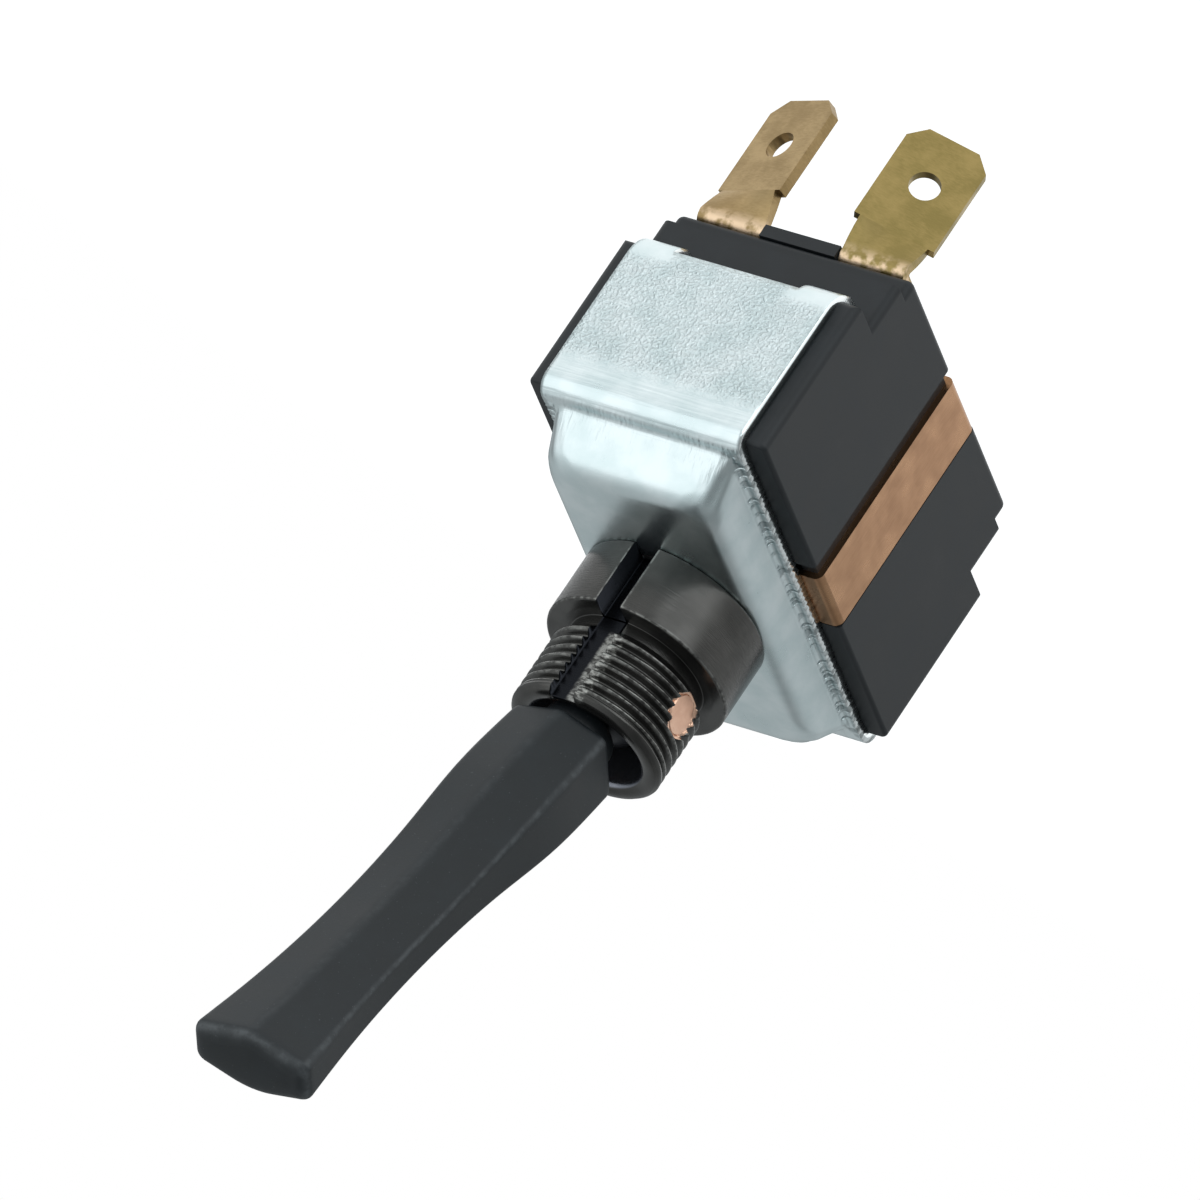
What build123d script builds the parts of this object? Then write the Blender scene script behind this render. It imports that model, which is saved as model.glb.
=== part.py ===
from build123d import *
from math import cos, radians, sin, sqrt
import os

os.makedirs("parts", exist_ok=True)

# A panel toggle switch for heavy loads, with a long paddle lever.
# Units are millimetres. The origin lies on the bushing's axis, in the plane of the collar's
# front face, which is where the panel rests. +Z points out of the panel, towards the lever.
# -Y is the side of the keyway, and the side to which the lever is thrown at rest.
# -X is the side of the copper ground strap. The strap side is at -X, the plain side at +X.

# Housing
front_z = -10.0
body_half_x = 9.9
front_half_y = 16.15
rear_half_y = 13.5
rear_length = 4.0
side_wall = 2.3
end_wall = 1.5
corner_radius = 0.6
edge_rounding = 0.3
rear_rounding = 0.5
moulded_gap = 0.1

# Bracket
sheet = 0.8
bracket_gap = 0.05
tab_inset = 1.6
tab_clearance = 0.4
platform_z = -5.5
platform_inset = 1.0
platform_foot_inset = 0.4
platform_half_y = 13.3
platform_foot_half_y = 15.6
platform_corner = 2.0
platform_rounding = 0.9
ear_width = 3.1
ear_reach = 2.6
bend_radius = 0.5
ear_bend_radius = 0.2

# Bushing: a 15/32 inch thread
thread_radius = 5.953
collar_radius = 7.15
seat_inner_radius = 6.1
seat_relief = 0.15
neck_radius = 5.3
neck_length = 1.4
bushing_top_z = 7.2
bushing_bore_radius = 4.5
bushing_chamfer = 0.35
tail_radius = 5.6
tail_flare_radius = 6.3
tail_flare_thickness = 0.8
keyway_width = 2.0
keyway_floor = 5.2
bushing_hole_gap = 0.05

# Lever and its pivot
pivot_z = 2.6
lever_tilt = 15.0
pivot_pin_radius = 1.5
pivot_pin_chamfer = 0.1
spot_face_radius = 1.7
spot_face_x = 5.45
running_gap = 0.05
hub_radius = 3.6
arm_radius = 1.6
arm_length = 14.0
core_radius = 1.5
core_reach = 16.0
shank_radius = 2.8
shank_start = 4.4
paddle_start = 7.3
paddle_end = 44.9
tip_rounding = 0.5
paddle_ridge = 1.2
paddle_roll = 6.0
ridge_rounding = 1.5

# Plunger, kept in the arm by its spring
plunger_bore_radius = 1.0
plunger_bore_start = 3.2
plunger_stem_radius = 0.95
plunger_stem_start = 8.4
plunger_stroke = 0.8
plunger_head_radius = 1.6
plunger_head_length = 3.15
spring_outer_radius = 0.9
spring_wire_radius = 0.14
spring_turns = 7
spring_seat_gap = 0.05

# Rocker
rocker_drop = 2.6
rocker_ratio = 0.4
rocker_half_x = 4.0
rocker_pin_radius = 1.0
rocker_hub_radius = 2.3
rocker_bottom = -1.9
rocker_arm_top = 0.5
rocker_horn_half_y = 5.7
rocker_plus_end = 6.4
horn_slope = 1.0
horn_drop = 1.2
cradle_gap = 0.15

# Contacts
bridge_thickness = 0.8
bridge_corner = 0.5
bridge_width = 3.0
bridge_end = 0.2
contact_station = 8.3
contact_inset = 2.2
contact_gap = 0.25
button_radius = 1.3
button_height = 0.8
bridge_rivet_radius = 0.8
bridge_rivet_head_radius = 1.28
rivet_head_height = 0.5
fixed_head_radius = 1.7
fixed_head_height = 2.0
fixed_head_chamfer = 0.3
fixed_shank_radius = 1.2
upset_radius = 1.9
upset_height = 0.7
upset_rounding = 0.4

# Terminal base
base_half_y = 12.4
plug_thickness = 2.7
flange_thickness = 1.6
barrier_height = 1.0
barrier_inner_y = -5.4
lug_gap = 0.7
lug_wall_gap = 1.0
lug_half_y = 2.0
lug_rise = 1.6

# Blades
blade_thickness = 0.8
blade_width = 6.35
stem_width = 5.4
blade_offset = 0.55
blade_front_y = -12.3
blade_turn = 21.0
foot_height = 1.0
stem_height = 3.4
blade_reach = 11.9
blade_chamfer = 1.2
blade_hole_radius = 1.15
blade_hole_from_tip = 4.2
foot_end_y = -5.4
foot_bend_radius = 0.15
twist_steps = 4

# Strap
strap_width = 5.2
strap_y = 1.0
strap_thickness = 0.5
strap_fold_radius = 0.1
edge_tolerance = 0.01
strap_front_reach = 3.5
strap_rear_reach = 5.0
strap_rivet_inset = 3.5
strap_rivet_radius = 0.9
strap_rivet_head_radius = 1.7
strap_rivet_rounding = 0.25
groove_low_y = -2.9
groove_high_y = 3.7

# Insulator plate
insulator_lap = 0.5
insulator_thickness = 0.8
insulator_slot_half_y = 5.9
insulator_slot_half_x = 2.3

# Values that follow: across
chamber_half_x = body_half_x - side_wall
chamber_half_y = rear_half_y - end_wall
insulator_half_x = chamber_half_x + insulator_lap
insulator_half_y = chamber_half_y + insulator_lap
bracket_half_x = body_half_x - tab_inset
platform_half_x = bracket_half_x - platform_inset
platform_foot_half_x = bracket_half_x - platform_foot_inset
ear_inner_x = bracket_half_x - ear_width
tab_inner_y = front_half_y + bracket_gap
tab_outer_y = tab_inner_y + sheet
ear_end_y = tab_inner_y - ear_reach
lug_inner_x = rocker_half_x + lug_gap
lug_outer_x = chamber_half_x - lug_wall_gap
contact_x = chamber_half_x - contact_inset
blade_x = contact_x + blade_offset
bridge_half_x = contact_x + button_radius + bridge_end
barrier_half_x = blade_x - stem_width / 2 - moulded_gap
strap_x = strap_thickness - body_half_x
strap_front_end_x = strap_front_reach - body_half_x
strap_rear_end_x = strap_rear_reach - body_half_x
strap_rivet_x = strap_rivet_inset - body_half_x

# Values that follow: along the axis. The lever's arm and plunger set the rocker's place, and the
# closed contacts set the base's. The other contacts' places are those of the buttons when closed.
plunger_reach = arm_length + plunger_stroke + spring_seat_gap + plunger_head_length
nose_length = plunger_reach - plunger_head_radius
rocker_rest_tilt = rocker_ratio * lever_tilt
rocker_pivot_z = pivot_z - plunger_reach - rocker_drop
button_face = bridge_thickness + button_height - rocker_bottom
rocker_sin = sin(radians(rocker_rest_tilt))
rocker_cos = cos(radians(rocker_rest_tilt))
contact_y = button_face * rocker_sin - contact_station * rocker_cos
closed_drop = contact_station * rocker_sin + button_face * rocker_cos
fixed_head_top_z = rocker_pivot_z - closed_drop - contact_gap
base_floor_z = fixed_head_top_z - fixed_head_height
rear_rim_z = base_floor_z - plug_thickness
rear_z = rear_rim_z - flange_thickness
shoulder_z = rear_rim_z + rear_length
tab_end_z = shoulder_z + tab_clearance
lug_top_z = rocker_pivot_z + lug_rise
sheet_top_z = front_z + sheet
ear_front_z = shoulder_z - bracket_gap
stem_start_z = rear_z - foot_height
stem_end_z = rear_z - stem_height
blade_tip_z = rear_z - blade_reach


def span(low_x, high_x, low_y, high_y, low_z, high_z, mode=Mode.ADD):
    """Add or cut a box between six named faces."""
    with Locations(((low_x + high_x) / 2, (low_y + high_y) / 2, (low_z + high_z) / 2)):
        Box(high_x - low_x, high_y - low_y, high_z - low_z, mode=mode)


# Housing: an open box with a wider front part, whose rear face is closed by the terminal base
with BuildPart() as housing:
    with BuildSketch(Plane.XY.offset(shoulder_z)):
        RectangleRounded(2 * body_half_x, 2 * front_half_y, corner_radius)
    extrude(amount=front_z - shoulder_z)
    fillet(housing.faces().sort_by(Axis.Z)[-1].edges(), edge_rounding)
    # The shoulders are rounded across the housing, while its sides run straight on to the rear part
    with BuildSketch(Plane.YZ):
        with Locations((0, front_z)):
            RectangleRounded(2 * front_half_y, 2 * (front_z - shoulder_z), rear_rounding)
    extrude(amount=2 * body_half_x, both=True, mode=Mode.INTERSECT)
    with BuildSketch(Plane.XY.offset(rear_rim_z)):
        RectangleRounded(2 * body_half_x, 2 * rear_half_y, corner_radius)
    extrude(amount=shoulder_z - rear_rim_z)
    # The chamber goes right through, so the mechanism can be put in from the rear
    span(-chamber_half_x, chamber_half_x, -chamber_half_y, chamber_half_y,
         rear_rim_z, front_z, mode=Mode.SUBTRACT)
    # Ledge for the insulator plate
    ledge_half_x = insulator_half_x + moulded_gap
    ledge_half_y = insulator_half_y + moulded_gap
    ledge_z = front_z - insulator_thickness - moulded_gap
    span(-ledge_half_x, ledge_half_x, -ledge_half_y, ledge_half_y, ledge_z, front_z, mode=Mode.SUBTRACT)
    # Groove for the strap, down the side and over the front edge
    span(-body_half_x, strap_x, groove_low_y, groove_high_y, rear_rim_z, front_z, mode=Mode.SUBTRACT)
    span(-body_half_x, -ledge_half_x, groove_low_y, groove_high_y,
         front_z - strap_thickness, front_z, mode=Mode.SUBTRACT)
    # The edge the strap is folded round
    housing_fold_edges = housing.edges().filter_by(Axis.Y).filter_by_position(
        Axis.Z, front_z - strap_thickness - edge_tolerance, front_z - strap_thickness + edge_tolerance
    ).filter_by_position(Axis.X, strap_x - edge_tolerance, strap_x + edge_tolerance)
    fillet(housing_fold_edges, strap_fold_radius)
housing.part.label = "housing"
export_step(housing.part, "parts/housing.step")

# Terminal base: a plate behind the housing, a plug inside it and the lugs for the rocker
with BuildPart() as terminal_base:
    with BuildSketch(Plane.XY.offset(rear_z)):
        RectangleRounded(2 * body_half_x, 2 * base_half_y, corner_radius)
    extrude(amount=rear_rim_z - rear_z)
    fillet(terminal_base.faces().sort_by(Axis.Z)[0].edges(), rear_rounding)
    plug_half_x = chamber_half_x - moulded_gap
    plug_half_y = chamber_half_y - moulded_gap
    span(-plug_half_x, plug_half_x, -plug_half_y, plug_half_y, rear_rim_z, base_floor_z)
    # Barrier between the blades
    span(-barrier_half_x, barrier_half_x, -base_half_y, barrier_inner_y, rear_z - barrier_height, rear_z)
    # Lugs that hold the rocker's pin
    for lug_side in (-1, 1):
        lug_low_x = min(lug_side * lug_inner_x, lug_side * lug_outer_x)
        lug_high_x = max(lug_side * lug_inner_x, lug_side * lug_outer_x)
        span(lug_low_x, lug_high_x, -lug_half_y, lug_half_y, base_floor_z, lug_top_z)
    with Locations(Location((0, 0, rocker_pivot_z), (0, 90, 0))):
        Cylinder(rocker_pin_radius, 4 * lug_inner_x, mode=Mode.SUBTRACT)
    # Holes for the contact rivets
    base_thickness = base_floor_z - rear_z
    base_mid_z = rear_z + base_thickness / 2
    with Locations((contact_x, contact_y, base_mid_z), (-contact_x, contact_y, base_mid_z)):
        Cylinder(fixed_shank_radius, base_thickness, mode=Mode.SUBTRACT)
    # Groove, recess and hole for the strap and its rivet
    span(-body_half_x, strap_x, groove_low_y, groove_high_y, rear_z, rear_rim_z, mode=Mode.SUBTRACT)
    span(-body_half_x, strap_rear_end_x + moulded_gap, groove_low_y, groove_high_y,
         rear_z, rear_z + strap_thickness, mode=Mode.SUBTRACT)
    with Locations((strap_rivet_x, strap_y, base_mid_z)):
        Cylinder(strap_rivet_radius, base_thickness, mode=Mode.SUBTRACT)
    # The edge the strap is folded round
    base_fold_edges = terminal_base.edges().filter_by(Axis.Y).filter_by_position(
        Axis.Z, rear_z + strap_thickness - edge_tolerance, rear_z + strap_thickness + edge_tolerance
    ).filter_by_position(Axis.X, strap_x - edge_tolerance, strap_x + edge_tolerance)
    fillet(base_fold_edges, strap_fold_radius)
terminal_base.part.label = "terminal_base"
export_step(terminal_base.part, "parts/terminal_base.step")

# Bracket: platform, two tabs and four ears from one sheet
with BuildPart() as bracket:
    # The flat part that lies on the housing and the tabs over its two ends
    with BuildSketch(Plane.YZ.offset(-bracket_half_x)):
        with BuildLine():
            FilletPolyline(
                (-tab_outer_y, tab_end_z),
                (-tab_outer_y, sheet_top_z),
                (tab_outer_y, sheet_top_z),
                (tab_outer_y, tab_end_z),
                radius=bend_radius + sheet,
            )
            Line((tab_outer_y, tab_end_z), (tab_inner_y, tab_end_z))
            Polyline(
                (tab_inner_y, tab_end_z),
                (tab_inner_y, front_z),
                (-tab_inner_y, front_z),
                (-tab_inner_y, tab_end_z),
            )
            Line((-tab_inner_y, tab_end_z), (-tab_outer_y, tab_end_z))
        make_face()
    extrude(amount=2 * bracket_half_x)
    # The platform, pressed out of the sheet with sloped sides
    with BuildSketch(Plane.XY.offset(front_z)):
        RectangleRounded(2 * platform_foot_half_x, 2 * platform_foot_half_y, platform_corner)
    with BuildSketch(Plane.XY.offset(platform_z)):
        RectangleRounded(2 * platform_half_x, 2 * platform_half_y, platform_corner)
    loft()
    fillet(bracket.faces().sort_by(Axis.Z)[-1].edges(), platform_rounding)
    # Its hollow underside, one sheet thickness inside the outer faces
    hollow_corner = platform_corner - sheet
    hollow_foot_x = 2 * (platform_foot_half_x - sheet)
    hollow_foot_y = 2 * (platform_foot_half_y - sheet)
    hollow_top_x = 2 * (platform_half_x - sheet)
    hollow_top_y = 2 * (platform_half_y - sheet)
    with BuildSketch(Plane.XY.offset(front_z)):
        RectangleRounded(hollow_foot_x, hollow_foot_y, hollow_corner)
    with BuildSketch(Plane.XY.offset(platform_z - sheet)):
        RectangleRounded(hollow_top_x, hollow_top_y, hollow_corner)
    loft(mode=Mode.SUBTRACT)
    # Hole for the bushing's tail
    with Locations((0, 0, platform_z)):
        Cylinder(tail_radius + bushing_hole_gap, 4 * sheet, mode=Mode.SUBTRACT)
    # Ears, folded over the housing's shoulders
    for ear_x in (-bracket_half_x, ear_inner_x):
        for side in (-1, 1):
            with BuildSketch(Plane.YZ.offset(ear_x)):
                with BuildLine():
                    FilletPolyline(
                        (side * tab_outer_y, tab_end_z),
                        (side * tab_outer_y, ear_front_z - sheet),
                        (side * ear_end_y, ear_front_z - sheet),
                        radius=ear_bend_radius + sheet,
                    )
                    Polyline(
                        (side * ear_end_y, ear_front_z - sheet),
                        (side * ear_end_y, ear_front_z),
                        (side * tab_inner_y, ear_front_z),
                        (side * tab_inner_y, tab_end_z),
                        (side * tab_outer_y, tab_end_z),
                    )
                make_face()
            extrude(amount=ear_width)
bracket.part.label = "bracket"
export_step(bracket.part, "parts/bracket.step")

# Bushing: collar, undercut neck and threaded barrel, with a tail rolled over under the bracket
with BuildPart() as bushing:
    with BuildSketch(Plane.XZ):
        tail_end_z = platform_z - sheet - tail_flare_thickness
        with BuildLine():
            Polyline(
                (bushing_bore_radius, bushing_top_z),
                (thread_radius - bushing_chamfer, bushing_top_z),
                (thread_radius, bushing_top_z - bushing_chamfer),
                (thread_radius, neck_length),
                (neck_radius, neck_length - (thread_radius - neck_radius)),
                (neck_radius, -seat_relief),
                (seat_inner_radius, 0),
                (collar_radius - bushing_chamfer / 2, 0),
                (collar_radius, -bushing_chamfer / 2),
                (collar_radius, platform_z + bushing_chamfer / 2),
                (collar_radius - bushing_chamfer / 2, platform_z),
                (tail_radius, platform_z),
                (tail_radius, platform_z - sheet),
                (tail_flare_radius, platform_z - sheet),
                (tail_flare_radius - bushing_chamfer, tail_end_z),
                (bushing_bore_radius + bushing_chamfer, tail_end_z),
                (bushing_bore_radius, tail_end_z + bushing_chamfer),
                close=True,
            )
        make_face()
    revolve(axis=Axis.Z)
    # Keyway along the whole length
    half_key = keyway_width / 2
    span(-half_key, half_key, -2 * collar_radius, -keyway_floor,
         platform_z, bushing_top_z, mode=Mode.SUBTRACT)
    # Cross hole for the pivot pin, spot faced where the pin is riveted flush
    with Locations(Location((0, 0, pivot_z), (0, 90, 0))):
        Cylinder(pivot_pin_radius, 4 * thread_radius, mode=Mode.SUBTRACT)
    for side in (-1, 1):
        spot_x = side * (spot_face_x + collar_radius) / 2
        with Locations(Location((spot_x, 0, pivot_z), (0, 90, 0))):
            Cylinder(spot_face_radius, collar_radius - spot_face_x, mode=Mode.SUBTRACT)
bushing.part.label = "bushing"
export_step(bushing.part, "parts/bushing.step")

# Pivot pin, its ends flush with the spot faces
with BuildPart() as pivot_pin:
    with Locations(Location((0, 0, pivot_z), (0, 90, 0))):
        Cylinder(pivot_pin_radius, 2 * spot_face_x)
    chamfer(pivot_pin.edges().filter_by(GeomType.CIRCLE), pivot_pin_chamfer)
pivot_pin.part.label = "pivot_pin"
export_step(pivot_pin.part, "parts/pivot_pin.step")

# The lever's pieces are drawn on a plane at the pivot that leans with the lever. Its Z runs along
# the lever to the tip, and its X is the pin's axis.
lever_axis = Plane(origin=(0, 0, pivot_z), x_dir=(1, 0, 0),
                   z_dir=(0, -sin(radians(lever_tilt)), cos(radians(lever_tilt))))

# The paddle's wide faces rise to a soft ridge, and it is turned a little about its own axis
paddle_x_dir = lever_axis.x_dir * cos(radians(paddle_roll)) - lever_axis.y_dir * sin(radians(paddle_roll))
paddle_axis = Plane(origin=lever_axis.origin, x_dir=paddle_x_dir, z_dir=lever_axis.z_dir)

# Paddle sections from the base to the tip: distance from the pivot, width, thickness at the sides
# and radius of the corners there
paddle_sections = (
    (paddle_start, 7.7, 5.1, 0.6),
    (13.8, 8.0, 4.7, 0.6),
    (19.6, 7.6, 3.5, 0.5),
    (26.0, 7.4, 2.6, 0.5),
    (32.2, 7.45, 2.55, 0.5),
    (39.0, 8.25, 2.75, 0.5),
    (paddle_end - tip_rounding, 9.4, 3.2, 0.6),
)


def paddle_section(station, width, thickness, corner):
    """A flat hexagon across the lever, its two ridges and its four corners rounded."""
    with BuildSketch() as section:
        Polygon(
            (width / 2, thickness / 2),
            (0, thickness / 2 + paddle_ridge),
            (-width / 2, thickness / 2),
            (-width / 2, -thickness / 2),
            (0, -thickness / 2 - paddle_ridge),
            (width / 2, -thickness / 2),
        )
        ridges = section.vertices().sort_by(Axis.Y)
        fillet([ridges[0], ridges[-1]], ridge_rounding)
        sides = section.vertices().filter_by_position(Axis.X, -width, -width / 2 + edge_tolerance)
        sides += section.vertices().filter_by_position(Axis.X, width / 2 - edge_tolerance, width)
        fillet(sides, corner)
    return paddle_axis.offset(station) * section.sketch


# Lever core: steel rod inside the paddle, hub on the pin and sleeve for the plunger
with BuildPart() as lever_core:
    with BuildSketch(lever_axis):
        Circle(core_radius)
    extrude(amount=core_reach)
    with Locations(lever_axis.location):
        Sphere(hub_radius)
    with BuildSketch(lever_axis):
        Circle(arm_radius)
    extrude(amount=-arm_length)
    with Locations(Location((0, 0, pivot_z), (0, 90, 0))):
        Cylinder(pivot_pin_radius + running_gap, 4 * hub_radius, mode=Mode.SUBTRACT)
    with BuildSketch(lever_axis.offset(-plunger_bore_start)):
        Circle(plunger_bore_radius)
    extrude(amount=-arm_length, mode=Mode.SUBTRACT)
lever_core.part.label = "lever_core"
export_step(lever_core.part, "parts/lever_core.step")

# Lever paddle, moulded over the core
with BuildPart() as lever_paddle:
    loft(sections=[paddle_section(*values) for values in paddle_sections])
    # The tip's edges are broken all round
    tip_station, tip_width, tip_thickness, tip_corner = paddle_sections[-1]
    tip_inset = 2 * tip_rounding
    tip_root = paddle_section(tip_station, tip_width, tip_thickness, tip_corner)
    tip_face = paddle_section(paddle_end, tip_width - tip_inset, tip_thickness - tip_inset, tip_corner)
    loft(sections=[tip_root, tip_face], ruled=True)
    with BuildSketch(lever_axis.offset(shank_start)):
        Circle(shank_radius)
    extrude(amount=paddle_start - shank_start)
    with BuildSketch(lever_axis):
        Circle(core_radius)
    extrude(amount=core_reach, mode=Mode.SUBTRACT)
lever_paddle.part.label = "lever_paddle"
export_step(lever_paddle.part, "parts/lever_paddle.step")

# Plunger: a stem in the sleeve and a round-nosed head
with BuildPart() as plunger:
    head_top = arm_length + plunger_stroke + spring_seat_gap
    with BuildSketch(lever_axis.offset(-head_top)):
        Circle(plunger_head_radius)
    extrude(amount=head_top - nose_length)
    with Locations(lever_axis.offset(-nose_length).location):
        Sphere(plunger_head_radius)
    with BuildSketch(lever_axis.offset(-plunger_stem_start)):
        Circle(plunger_stem_radius)
    extrude(amount=plunger_stem_start - head_top)
plunger.part.label = "plunger"
export_step(plunger.part, "parts/plunger.step")

# Plunger spring: a wire coil between the end of the sleeve's bore and the stem
with BuildPart() as plunger_spring:
    spring_top = plunger_bore_start + spring_wire_radius + spring_seat_gap
    spring_bottom = plunger_stem_start - spring_wire_radius - spring_seat_gap
    coil_radius = spring_outer_radius - spring_wire_radius
    spring_length = spring_bottom - spring_top
    coil_base = lever_axis.offset(-spring_bottom)
    with BuildLine() as coil_path:
        Helix(spring_length / spring_turns, spring_length, coil_radius,
              center=coil_base.origin, direction=coil_base.z_dir)
    with BuildSketch(Plane(origin=coil_path.line @ 0, z_dir=coil_path.line % 0)):
        Circle(spring_wire_radius)
    sweep(path=coil_path.line, is_frenet=True)
plunger_spring.part.label = "plunger_spring"
export_step(plunger_spring.part, "parts/plunger_spring.step")

# Rocker. The cradle is the path of the plunger's nose as the rocker sees it, moved out by the
# nose's radius and a gap. The path is an arc through its middle and its two end points.
path_low = pivot_z - nose_length - rocker_pivot_z
end_y = nose_length * sin(radians(lever_tilt))
end_z = pivot_z - nose_length * cos(radians(lever_tilt)) - rocker_pivot_z
path_end_y = end_y * rocker_cos - end_z * rocker_sin
path_end_z = end_y * rocker_sin + end_z * rocker_cos
path_rise = path_end_z - path_low
path_radius = (path_end_y ** 2 + path_rise ** 2) / (2 * path_rise)
cradle_radius = path_radius + plunger_head_radius + cradle_gap
cradle_centre = path_low + path_radius
horn_z = cradle_centre - sqrt(cradle_radius ** 2 - rocker_horn_half_y ** 2)
cradle_low = cradle_centre - cradle_radius

# The rocker and what it carries are drawn on a plane at its pin that leans with it
rocker_frame = Plane(origin=(0, 0, rocker_pivot_z), x_dir=(1, 0, 0),
                     z_dir=(0, rocker_sin, rocker_cos))
rocker_side = Plane(origin=rocker_frame.origin, x_dir=rocker_frame.y_dir, z_dir=(1, 0, 0))

rocker_arm_end = contact_station + bridge_width / 2
with BuildPart() as rocker:
    with BuildSketch(rocker_side):
        with BuildLine():
            ThreePointArc((-rocker_horn_half_y, horn_z), (0, cradle_low), (rocker_horn_half_y, horn_z))
            Polyline(
                (rocker_horn_half_y, horn_z),
                (rocker_plus_end, horn_z - horn_drop),
                (rocker_plus_end, rocker_bottom),
                (-rocker_arm_end, rocker_bottom),
                (-rocker_arm_end, rocker_arm_top),
                (-rocker_horn_half_y - horn_slope, rocker_arm_top),
                (-rocker_horn_half_y, horn_z),
            )
        make_face()
        Circle(rocker_hub_radius)
        Circle(rocker_pin_radius + running_gap, mode=Mode.SUBTRACT)
    extrude(amount=rocker_half_x, both=True)
    with BuildSketch(rocker_frame.offset(rocker_bottom)):
        with Locations((0, -contact_station)):
            Circle(bridge_rivet_radius)
    extrude(amount=rocker_arm_top - rocker_bottom, mode=Mode.SUBTRACT)
rocker.part.label = "rocker"
export_step(rocker.part, "parts/rocker.step")

# Rocker pin, held in the base's lugs
with BuildPart() as rocker_pin:
    with Locations(Location((0, 0, rocker_pivot_z), (0, 90, 0))):
        Cylinder(rocker_pin_radius, 2 * lug_outer_x)
rocker_pin.part.label = "rocker_pin"
export_step(rocker_pin.part, "parts/rocker_pin.step")

# Contact bridge: a brass bar under the rocker's arm
bridge_low = rocker_bottom - bridge_thickness
with BuildPart() as contact_bridge:
    with BuildSketch(rocker_frame.offset(bridge_low)):
        with Locations((0, -contact_station)):
            RectangleRounded(2 * bridge_half_x, bridge_width, bridge_corner)
            Circle(bridge_rivet_radius, mode=Mode.SUBTRACT)
    extrude(amount=bridge_thickness)
contact_bridge.part.label = "contact_bridge"
export_step(contact_bridge.part, "parts/contact_bridge.step")

# Rivet through the bridge and the rocker's arm
with BuildPart() as bridge_rivet:
    rivet_length = rocker_arm_top - bridge_low
    with BuildSketch(rocker_frame.offset(bridge_low)):
        with Locations((0, -contact_station)):
            Circle(bridge_rivet_radius)
    extrude(amount=rivet_length)
    rivet_low = bridge_low - rivet_head_height
    with BuildSketch(rocker_frame.offset(rivet_low), rocker_frame.offset(rocker_arm_top)):
        with Locations((0, -contact_station)):
            Circle(bridge_rivet_head_radius)
    extrude(amount=rivet_head_height)
bridge_rivet.part.label = "bridge_rivet"
export_step(bridge_rivet.part, "parts/bridge_rivet.step")

# Moving contacts: silver buttons on the bridge, one over each fixed contact
with BuildPart() as moving_contact_plain_side:
    with BuildSketch(rocker_frame.offset(bridge_low - button_height)):
        with Locations((contact_x, -contact_station)):
            Circle(button_radius)
    extrude(amount=button_height)
moving_contact_plain_side.part.label = "moving_contact_plain_side"
export_step(moving_contact_plain_side.part, "parts/moving_contact_plain_side.step")

with BuildPart() as moving_contact_strap_side:
    add(mirror(moving_contact_plain_side.part, about=Plane.YZ))
moving_contact_strap_side.part.label = "moving_contact_strap_side"
export_step(moving_contact_strap_side.part, "parts/moving_contact_strap_side.step")

# Fixed contacts: rivets whose inner heads are the contacts and whose outer ends hold the blades
foot_rear_z = rear_z - blade_thickness
with BuildPart() as fixed_contact_plain_side:
    with BuildSketch(Plane.XY.offset(base_floor_z)):
        with Locations((contact_x, contact_y)):
            Circle(fixed_head_radius)
    extrude(amount=fixed_head_top_z - base_floor_z)
    chamfer(fixed_contact_plain_side.faces().sort_by(Axis.Z)[-1].edges(), fixed_head_chamfer)
    with BuildSketch(Plane.XY.offset(foot_rear_z)):
        with Locations((contact_x, contact_y)):
            Circle(fixed_shank_radius)
    extrude(amount=base_floor_z - foot_rear_z)
    with BuildSketch(Plane.XY.offset(foot_rear_z - upset_height)):
        with Locations((contact_x, contact_y)):
            Circle(upset_radius)
    extrude(amount=upset_height)
    fillet(fixed_contact_plain_side.faces().sort_by(Axis.Z)[0].edges(), upset_rounding)
fixed_contact_plain_side.part.label = "fixed_contact_plain_side"
export_step(fixed_contact_plain_side.part, "parts/fixed_contact_plain_side.step")

with BuildPart() as fixed_contact_strap_side:
    add(mirror(fixed_contact_plain_side.part, about=Plane.YZ))
fixed_contact_strap_side.part.label = "fixed_contact_strap_side"
export_step(fixed_contact_strap_side.part, "parts/fixed_contact_strap_side.step")

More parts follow.
